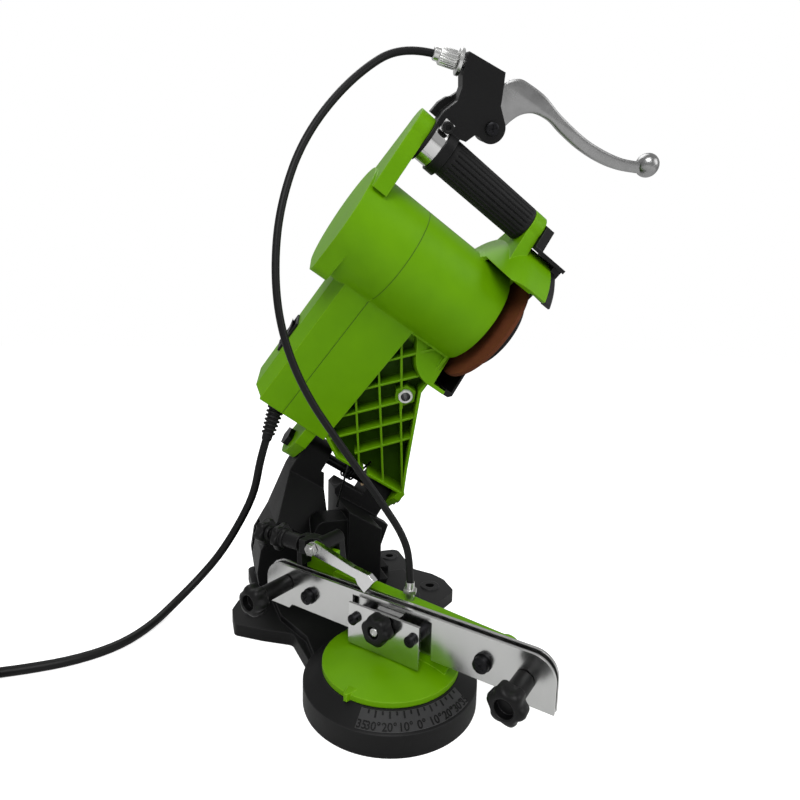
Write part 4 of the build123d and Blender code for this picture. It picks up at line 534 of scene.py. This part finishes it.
knob("feed_screw", rail_point(-120, 88, 2), rail_dir, [
    (0.0, 0.05), (0.0, 7.6), (0.7, 9.4), (1.7, 10.4), (6.2, 10.4), (7.3, 9.6), (8.0, 8.0), (8.0, 5.7),
    (9.4, 5.5), (10.0, 5.0), (10.0, 3.0), (45.3, 3.0), (45.7, 2.6), (45.7, 0.05)], "feed")
knob("lock_knob", rail_point(-103, 88, 2), rail_dir, [
    (0.0, 3.1), (0.0, 8.0), (0.7, 9.6), (1.5, 10.4), (4.6, 10.4), (5.5, 9.6), (6.0, 8.4), (6.0, 7.2),
    (8.6, 7.0), (9.2, 6.4), (9.2, 3.1)], "lock_knob")
clamp_stud = turned("clamp_stud", rail_point(0, 54, 18.6), rail_normal, [
    (0.0, 0.05), (0.0, 2.9), (1.9, 2.9), (2.3, 2.5), (2.4, 1.6), (2.0, 1.4), (2.0, 0.05)], steel, 24)
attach(clamp_stud, "clamp_knob")

# ---------------------------------------------------------------------------------------
# Chain stop: black moulded arm and bracket, and a chrome pawl pressed from sheet that
# swings on a bolt with a bright nut.
# ---------------------------------------------------------------------------------------
chrome = metal("chrome_pawl", (0.78, 0.78, 0.78), 0.16, 300.0, rounding=0.0006, spots=0.2)
black_plastic = moulded("black_plastic", (0.0050, 0.0050, 0.0053), (0.0032, 0.0032, 0.0034),
                        (0.024, 0.024, 0.025), 0.45, 800.0, 0.0010, relief=0.06)
paint(black_plastic, "stop_bracket", "stop_arm")
paint(chrome, "chain_stop")
paint(steel, "stop_bolt")

# ---------------------------------------------------------------------------------------
# Motor casing: end cap and housing with its wheel guard, moulded in the same lime green and
# parted by a seam; inside are the laminated stator, the rotor and two bearings. A zinc-plated
# threaded insert sits in the yoke, whose pockets lie in shade between their ribs.
# ---------------------------------------------------------------------------------------
wheel_reach = 193.6
paint(green_plastic, "motor_end_cap", "motor_housing")


def shaded(finish, amount_at, shade):
    """Darkens a finish to this shade by the amount, from 0 to 1, that amount_at finds for a place."""
    skin = Finish(finish.node_tree)
    shader = finish.node_tree.nodes["Principled BSDF"]
    amount = amount_at(skin, skin.node("ShaderNodeTexCoord", {}, {}, 3))
    colour = Finish(skin.tree, shader.inputs["Base Color"].links[0].from_socket)
    amount.blended(colour, (*shade, 1.0)).into(shader, "Base Color")


def pocket_shade(skin, place):
    """How far down the yoke's pockets a place lies: none at the ribs' tops, most at the web."""
    box_side, drum_edge, rib_top, rib_height, web_back = -0.0508, 0.147, 0.0200, 0.0150, -0.001
    from_pivot = skin.node("ShaderNodeVectorMath", {"operation": "SUBTRACT"}, {0: place, 1: pivot})
    a, s, q = (skin.node("ShaderNodeVectorMath", {"operation": "DOT_PRODUCT"}, {0: from_pivot, 1: way}, 1)
               for way in (across_dir, reach_dir, front_dir))
    in_yoke = ((a - box_side) * 4000.0).kept(0.0, 1.0) * ((drum_edge - s) * 300.0).kept(0.0, 1.0)
    below_ribs = ((rib_top - q) / rib_height).kept(0.0, 1.0) * ((q - web_back) * 4000.0).kept(0.0, 1.0)
    return below_ribs * in_yoke * 0.88


shaded(green_plastic, pocket_shade, (0.006, 0.024, 0.0))

# Painted shade: the seam is a thin ridge in a darker green that stands for the shade in the parting groove.
seam_painted_shade = moulded("seam_painted_shade", (0.055, 0.150, 0.0), (0.045, 0.120, 0.0), (0.08, 0.20, 0.0), 0.55, 650.0,
                     0.0002)
seam_across = -96
seam_half = 0.35
seam_height = 0.36
drum_skin = 42.7
box_skin = 21.7
seam_steps = 72


def seam_ring(skin):
    """The seam's section over a skin at this height: (across, height) pairs."""
    crest = skin + seam_height
    return [(-seam_half, skin), (-seam_half, crest), (seam_half, crest), (seam_half, skin)]


seam_loops = []
for step in range(seam_steps + 1):
    turn = math.radians(-70.0 + 210.0 * step / seam_steps)
    rise, out = math.cos(turn), math.sin(turn)
    seam_loops.append([head_point(seam_across + a, wheel_reach + radius * rise, radius * out)
                       for a, radius in seam_ring(drum_skin)])
drum_seam = skinned("drum_seam", seam_loops, seam_painted_shade)
box_loops = [[head_point(seam_across + a, s, q) for a, q in seam_ring(box_skin)] for s in (30.6, 156.0)]
box_seam = skinned("box_seam", box_loops, seam_painted_shade)
for seam in (drum_seam, box_seam):
    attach(seam, "head")

laminated = metal("laminated_steel", (0.30, 0.30, 0.31), 0.45, 300.0)
paint(laminated, "stator", "rotor")
paint(steel, "bearings", "wheel_flange", "wheel_nut")

insert_steel = metal("insert_steel", (0.86, 0.86, 0.85), 0.42, 400.0)
insert_steel.node_tree.nodes["Principled BSDF"].inputs["Metallic"].default_value = 0.35
paint(insert_steel, "threaded_insert")
insert_bore = 0.0044


def bore_shade(skin, place):
    """All of the shade within the insert's bore, and none outside it."""
    corners = [corner.co for corner in nodes["threaded_insert"].data.vertices]
    middle = sum(corners, Vector()) / len(corners)
    from_middle = skin.node("ShaderNodeVectorMath", {"operation": "SUBTRACT"}, {0: place, 1: middle})
    away = skin.node("ShaderNodeVectorMath", {"operation": "CROSS_PRODUCT"}, {0: from_middle, 1: front_dir})
    axis_distance = skin.node("ShaderNodeVectorMath", {"operation": "LENGTH"}, {0: away}, 1)
    return ((insert_bore - axis_distance) * 5000.0).kept(0.0, 1.0)


shaded(insert_steel, bore_shade, (0.004, 0.004, 0.004))

# ---------------------------------------------------------------------------------------
# Grinding wheel: red-brown vitrified abrasive, pressed and fired, behind a black cover
# that is held by three screws.
# ---------------------------------------------------------------------------------------
abrasive, skin, shader, place = new_finish("red_abrasive")
grit = noise(skin, place, 2600.0, 2.0)
patch = noise(skin, place, 60.0, 4.0)
hub = head_point(0, wheel_reach, 0)
rim_radius = 0.0525
from_hub = skin.node("ShaderNodeVectorMath", {"operation": "SUBTRACT"}, {0: place, 1: hub})
hub_distance = skin.node("ShaderNodeVectorMath", {"operation": "LENGTH"}, {0: from_hub}, 1)
rim = ((hub_distance - rim_radius) * 1200.0).kept(0.0, 1.0)
stone = (grit * 0.6 + patch * 0.5).blended((0.085, 0.021, 0.006, 1.0), (0.180, 0.052, 0.017, 1.0))
(rim * 0.45).blended(stone, (0.070, 0.020, 0.008, 1.0)).into(shader, "Base Color")
shader.inputs["Specular IOR Level"].default_value = 0.2
(0.80 + 0.12 * grit).into(shader, "Roughness")
skin.node("ShaderNodeBump", {}, {"Strength": 0.5, "Distance": 0.0002, "Height": grit}).into(shader, "Normal")
paint(abrasive, "grinding_wheel")
paint(black_plastic, "wheel_cover")
paint(dark_steel, "cover_screws")


def wheel_point(radius, turn, a):
    """A point round the wheel, in millimetres and degrees from the reach."""
    angle = math.radians(turn)
    return head_point(a, wheel_reach + radius * math.cos(angle), radius * math.sin(angle))


cover_screws = [(wheel_point(60, turn, 15.3), across_dir) for turn in (-60, -150, 12)]
cross_heads("cover_screw_heads", "head", cover_screws, 4.1, 1.4)

# ---------------------------------------------------------------------------------------
# Switch and strain relief: a framed rocker in the box's left end, and the moulded rubber
# sleeve that keeps the cord from kinking where it leaves the box.
# ---------------------------------------------------------------------------------------
rubber = moulded("moulded_rubber", (0.0085, 0.0085, 0.0088), (0.0050, 0.0050, 0.0052), (0.022, 0.022, 0.023),
                 0.52, 900.0, 0.0005, relief=0.05)
paint(black_plastic, "switch_frame")
paint(knob_plastic, "rocker_switch")
paint(rubber, "plug")
gland = head_point(-101.9, 30.2, 8)
relief_end = Vector((-0.0627, 0.1670, 0.1433))
relief_dir = (relief_end - gland).normalized()
relief_length = (relief_end - gland).length / mm
relief_ribs = 6
rib_pitch = (relief_length - 13.0) / relief_ribs
relief_profile = [(-5.0, 0.05), (-5.0, 7.5), (6.2, 7.5), (6.8, 7.2)]
for rib in range(relief_ribs):
    crest = 7.4 - 1.4 * rib / (relief_ribs - 1)
    for share, cut in ((0.10, 1.6), (0.42, 1.6), (0.52, 0.25), (0.62, 0.0), (0.90, 0.0), (0.99, 0.25)):
        relief_profile.append((7.0 + (rib + share) * rib_pitch, crest - cut))
relief_profile += [(relief_length - 5.4, 4.6), (relief_length - 1.0, 4.4), (relief_length, 3.9),
                   (relief_length, 0.05)]
strain_relief = turned("strain_relief_sleeve", gland, relief_dir, relief_profile, rubber, 40)
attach(strain_relief, "head")
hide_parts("strain_relief")

# ---------------------------------------------------------------------------------------
# Handle: a steel bar between the casing's arms, with a fluted rubber grip. A polished band
# clamps the brake lever's bracket, whose lever is a die-cast aluminium blade with a ball.
# ---------------------------------------------------------------------------------------
paint(steel, "handle_bar")
paint(bridge_steel, "clamp_band")
paint(black_plastic, "lever_bracket", "clamp_screw")
paint(dark_steel, "lever_pivot")
handle_at = 274.6
handle_front = 4.0
flutes = 22
flute_depth = 0.085
grip_rows = [(0.0, 12.6), (0.6, 13.8), (2.6, 14.0), (4.2, 14.0), (6.0, 14.0), (77.0, 14.0), (79.0, 14.0),
             (80.6, 14.0), (81.4, 13.7), (81.7, 12.6)]
fluted_rows = (4, 5)


def fluted(row, turn):
    """Long flutes between the grip's plain ends."""
    depth = flute_depth if row in fluted_rows else 0.0
    return 1.0 - depth * max(0.0, math.cos(flutes * turn)) ** 2


grip_end = head_point(-113, handle_at, handle_front)
grip = turned("fluted_grip", grip_end, across_dir, grip_rows, rubber, 264, fluted)
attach(grip, "head")
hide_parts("grip")

bright_steel = metal("bright_zinc_steel", (0.70, 0.70, 0.69), 0.26, 120.0, rounding=0.0003, relief=0.004,
                     spots=0.08)
adjuster_dip = math.radians(22.0)
adjuster_dir = across_dir * -math.cos(adjuster_dip) - reach_dir * math.sin(adjuster_dip)
adjuster_root = head_point(-140.9, 327.1, 4)


barrel_rows = [(-7.5, 0.05), (-7.5, 3.0), (5.0, 3.0), (5.0, 5.2), (5.7, 5.8), (6.3, 6.0), (16.8, 6.0),
               (17.4, 5.8), (18.0, 5.2), (18.0, 4.5), (21.4, 4.4), (22.0, 3.9), (22.0, 2.6), (11.7, 2.6),
               (11.7, 0.05)]
knurl_rim = 5.8
knurl_count = 24
knurl_depth = 0.05


def knurled(row, turn):
    """A fine knurl round the rows of the barrel at its full width."""
    depth = knurl_depth if barrel_rows[row][1] >= knurl_rim else 0.0
    return 1.0 - depth * max(0.0, math.cos(knurl_count * turn))


barrel = turned("adjuster_barrel", adjuster_root, adjuster_dir, barrel_rows, bright_steel, 192, knurled)
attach(barrel, "head")
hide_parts("barrel_adjuster")
ring_rows = [(1.5, 3.1), (1.5, 8.1), (2.0, 8.8), (4.2, 8.8), (4.7, 8.1), (4.7, 3.1)]
adjuster_ring = turned("adjuster_lock_ring", adjuster_root, adjuster_dir, ring_rows, bright_steel, 64)
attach(adjuster_ring, "head")
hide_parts("lock_ring")

cross_heads("lever_pivot_head", "head", [(head_point(-99.7, 308.3, 15.3), front_dir)], 4.7, 1.5)

cast_aluminium = metal("cast_aluminium", (0.40, 0.40, 0.40), 0.27, 160.0, rounding=0.0020, relief=0.012,
                       dark=0.50, spots=0.15)
lever_top = [(-112, 331), (-110, 338), (-104, 344.2), (-96.4, 346.4), (-81.8, 348.0), (-64.4, 346.6),
             (-40.4, 347.1), (-22.0, 350.2), (-5.1, 355.5), (9, 363)]
lever_low = [(14, 356.6), (-3.4, 347.0), (-19.9, 341.6), (-38.3, 338.6), (-56.0, 338.0), (-68.7, 338.4),
             (-80.3, 335.1), (-87.4, 328.8), (-90.8, 320.4), (-92.2, 311), (-94.3, 303.4), (-99.7, 301),
             (-105.4, 303.4), (-107.6, 309)]
lever_thickness = 8.0
ball_radius = 8.8


def smoothed(points, steps):
    """A line through all the points, with so many steps between each two."""
    line = []
    last = len(points) - 1
    for i in range(last):
        before, here, there, after = (Vector(points[min(max(j, 0), last)]) for j in range(i - 1, i + 3))
        for step in range(steps):
            t = step / steps
            bend = 2 * before - 5 * here + 4 * there - after
            twist = 3 * here - before - 3 * there + after
            line.append(0.5 * (2 * here + (there - before) * t + bend * t * t + twist * t ** 3))
    return line + [Vector(points[-1])]


def plate(name, outline, place, depth, rounding, segments, finish):
    """A plate with this outline, from place(u, v, 0) to place(u, v, depth), its edges rounded."""
    form = bmesh.new()
    corners = [form.verts.new(place(u, v, 0.0)) for u, v in outline]
    bottom = form.faces.new(corners)
    raised = bmesh.ops.extrude_face_region(form, geom=[bottom])
    shift = place(0, 0, depth) - place(0, 0, 0)
    lifted = [corner for corner in raised["geom"] if isinstance(corner, bmesh.types.BMVert)]
    bmesh.ops.translate(form, vec=shift, verts=lifted)
    bmesh.ops.recalc_face_normals(form, faces=form.faces)
    rims = [edge for edge in form.edges if any(len(face.verts) > 4 for face in edge.link_faces)]
    bmesh.ops.bevel(form, geom=rims, offset=rounding, segments=segments, profile=0.5, affect="EDGES")
    mesh = bpy.data.meshes.new(name)
    form.to_mesh(mesh)
    form.free()
    mesh.shade_smooth()
    mesh.set_sharp_from_angle(angle=math.radians(50.0))
    mesh.materials.append(finish)
    shown = bpy.data.objects.new(name, mesh)
    bpy.context.scene.collection.objects.link(shown)
    return shown


lever_outline = [tuple(point) for point in smoothed(lever_top, 6) + smoothed(lever_low, 6)]
lever = plate("lever_blade", lever_outline, head_point, lever_thickness, 0.0016, 4, cast_aluminium)
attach(lever, "lever")
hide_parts("brake_lever")
ball_turns = [math.pi * step / 16 for step in range(17)]
ball_rows = [(-ball_radius * math.cos(turn), max(0.05, ball_radius * math.sin(turn))) for turn in ball_turns]
ball_centre = head_point(14.6, 364.4, lever_thickness / 2)
lever_ball = turned("lever_ball", ball_centre, front_dir, ball_rows, cast_aluminium, 40, sharp=60.0)
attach(lever_ball, "lever")

# ---------------------------------------------------------------------------------------
# Power cord: a round rubber-sheathed lead that hangs from the strain relief, lies on the
# table and ends in a neat coil of two layers beside its plug. It is extruded as one length.
# ---------------------------------------------------------------------------------------
def spline_points(route, samples):
    """Points along the smooth line that has the route as its control points."""
    line = bpy.data.curves.new("route", "CURVE")
    line.dimensions = "3D"
    line.resolution_u = samples
    strand = line.splines.new("NURBS")
    strand.points.add(len(route) - 1)
    for point, place in zip(strand.points, route):
        point.co = (*place, 1.0)
    strand.order_u = 3
    strand.use_endpoint_u = True
    holder = bpy.data.objects.new("route", line)
    bpy.context.scene.collection.objects.link(holder)
    drawn = bpy.data.meshes.new_from_object(holder)
    points = [vertex.co.copy() for vertex in drawn.vertices]
    bpy.data.objects.remove(holder)
    return points


sheath = moulded("cord_sheath", (0.0050, 0.0050, 0.0052), (0.0032, 0.0032, 0.0034), (0.012, 0.012, 0.012),
                 0.44, 900.0, 0.0004)
cord_radius = 0.0035
coil_centre = Vector((-0.297, 0.047, 0.0))
coil_outer = 0.051
coil_step = 0.0088
coil_rise = 0.0076
spiral_turns = 2.625
climb_turns = 0.5
plug_height = 0.0093


def coil_point(turns):
    """A point of the piled coil: in along the table, up a layer, out again and off to the plug."""
    inner = coil_outer - coil_step * spiral_turns
    radius = max(inner, coil_outer - coil_step * turns)
    height = cord_radius + coil_rise * min(1.0, max(0.0, (turns - spiral_turns) / climb_turns))
    back_out = turns - spiral_turns - climb_turns
    if back_out > 0:
        radius = inner + coil_step * min(back_out, spiral_turns)
    last = (back_out - spiral_turns) / climb_turns
    if last > 0:
        radius = coil_outer + coil_step * last
        height -= (cord_radius + coil_rise - plug_height) * max(0.0, 2 * last - 1)
    angle = math.pi / 2 + math.tau * turns
    return coil_centre + Vector((radius * math.cos(angle), radius * math.sin(angle), height))


cord_route = [
    relief_end,
    Vector((-0.06812, 0.16614, 0.12616)),
    Vector((-0.0725, 0.1690, 0.0970)),
    Vector((-0.0840, 0.1695, 0.0720)),
    Vector((-0.1014, 0.1700, 0.0430)),
    Vector((-0.1200, 0.1680, 0.0224)),
    Vector((-0.1410, 0.1560, 0.0075)),
    Vector((-0.1580, 0.1310, 0.0035)),
    Vector((-0.1780, 0.1080, 0.0035)),
    Vector((-0.2060, 0.0970, 0.0035)),
    Vector((-0.2380, 0.0955, 0.0035)),
    Vector((-0.2690, 0.0980, 0.0035)),
]
turn_points = 16
coil_length = 2 * (spiral_turns + climb_turns)
cord_route += [coil_point(step / turn_points) for step in range(round(coil_length * turn_points) + 1)]
cord_line = spline_points(cord_route, 4)
power_cord = tube("power_cord_sheath", cord_line, cord_radius, sheath)
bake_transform(power_cord)
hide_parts("power_cord", "cord_coil")

# ---------------------------------------------------------------------------------------
# Brake cable: a steel wire in a black sheath, stiff enough to stand out in a wide bow
# between the barrel adjuster and the ferrule in the rail. Its tail is a length of its own.
# ---------------------------------------------------------------------------------------
cable_radius = 0.0025
tail_height = 0.100
cable_route = [
    Vector((0.04679, 0.04874, 0.42977)),
    Vector((0.01780, 0.05349, 0.43587)),
    Vector((-0.0200, 0.0480, 0.4070)),
    Vector((-0.0520, 0.0420, 0.3650)),
    Vector((-0.0680, 0.0350, 0.3210)),
    Vector((-0.0725, 0.0300, 0.2800)),
    Vector((-0.0690, 0.0260, 0.2430)),
    Vector((-0.0555, 0.0220, 0.2060)),
    Vector((-0.0310, 0.0180, 0.1690)),
    Vector((-0.0060, 0.0120, 0.1330)),
    Vector((0.0100, 0.0040, 0.1070)),
    Vector((0.0130, 0.0010, 0.0860)),
    Vector((0.0130, 0.0010, 0.0670)),
]
cable_line = spline_points(cable_route, 12)


tail_from = max(i for i, place in enumerate(cable_line) if place.z > tail_height)
brake_cable = tube("brake_cable_sheath", cable_line[:tail_from + 1], cable_radius, sheath, 14)
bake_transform(brake_cable)
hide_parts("brake_cable")
cable_tail = tube("brake_cable_tail", cable_line[tail_from:], cable_radius, sheath, 14)
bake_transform(cable_tail)

# ---------------------------------------------------------------------------------------
# Studio: a pale table that melts into a white room, and three soft square lamps: one in
# front on the left, a weaker one on the right and one above from behind.
# ---------------------------------------------------------------------------------------
floor_finish, skin, shader, place = new_finish("pale_table")
shader.inputs["Base Color"].default_value = (0.80, 0.80, 0.80, 1.0)
shader.inputs["Roughness"].default_value = 0.9
tint = skin.node("ShaderNodeEmission", {}, {"Color": (1.0, 1.0, 1.0, 1.0), "Strength": 0.74})
matt = Finish(skin.tree, shader.outputs[0])
both = skin.node("ShaderNodeAddShader", {}, {0: matt, 1: tint})
seen = skin.node("ShaderNodeLightPath", {}, {}, "Is Camera Ray")
table_shader = skin.node("ShaderNodeMixShader", {}, {0: seen, 1: matt, 2: both})
skin.tree.links.new(table_shader.socket, skin.tree.nodes["Material Output"].inputs["Surface"])
table_half = 4
table_top = -0.0002
table_corners = [(x * table_half, y * table_half, table_top) for x, y in ((-1, -1), (1, -1), (1, 1), (-1, 1))]
floor = piece("table_top", table_corners, [(0, 1, 2, 3)], floor_finish)

world = bpy.data.worlds.new("studio")
world.use_nodes = True
bpy.context.scene.world = world
sky = Finish(world.node_tree)
camera_ray = sky.node("ShaderNodeLightPath", {}, {}, "Is Camera Ray")
glossy_ray = sky.node("ShaderNodeLightPath", {}, {}, "Is Glossy Ray")
clear_ray = sky.node("ShaderNodeLightPath", {}, {}, "Is Transmission Ray")
full = (camera_ray + glossy_ray * 0.22 + clear_ray).kept(0.0, 1.0)
background = world.node_tree.nodes["Background"]
background.inputs["Color"].default_value = (1.0, 1.0, 1.0, 1.0)
(0.34 + full * 0.66).into(background, "Strength")

for name, place, aim, size, power in (("key", (-0.55, -1.2, 1.5), (0.0, 0.05, 0.2), 1.1, 22.0),
                                      ("fill", (1.3, -0.9, 0.9), (0.0, 0.1, 0.2), 1.0, 7.0),
                                      ("top", (0.1, 0.9, 1.7), (0.0, 0.1, 0.2), 1.2, 12.0)):
    lamp = bpy.data.lights.new(name, "AREA")
    lamp.shape = "SQUARE"
    lamp.size = size
    lamp.energy = power
    holder = bpy.data.objects.new(name, lamp)
    holder.location = place
    holder.rotation_euler = (Vector(aim) - Vector(place)).to_track_quat("-Z", "Y").to_euler()
    bpy.context.scene.collection.objects.link(holder)
bpy.context.scene.view_settings.view_transform = "Standard"
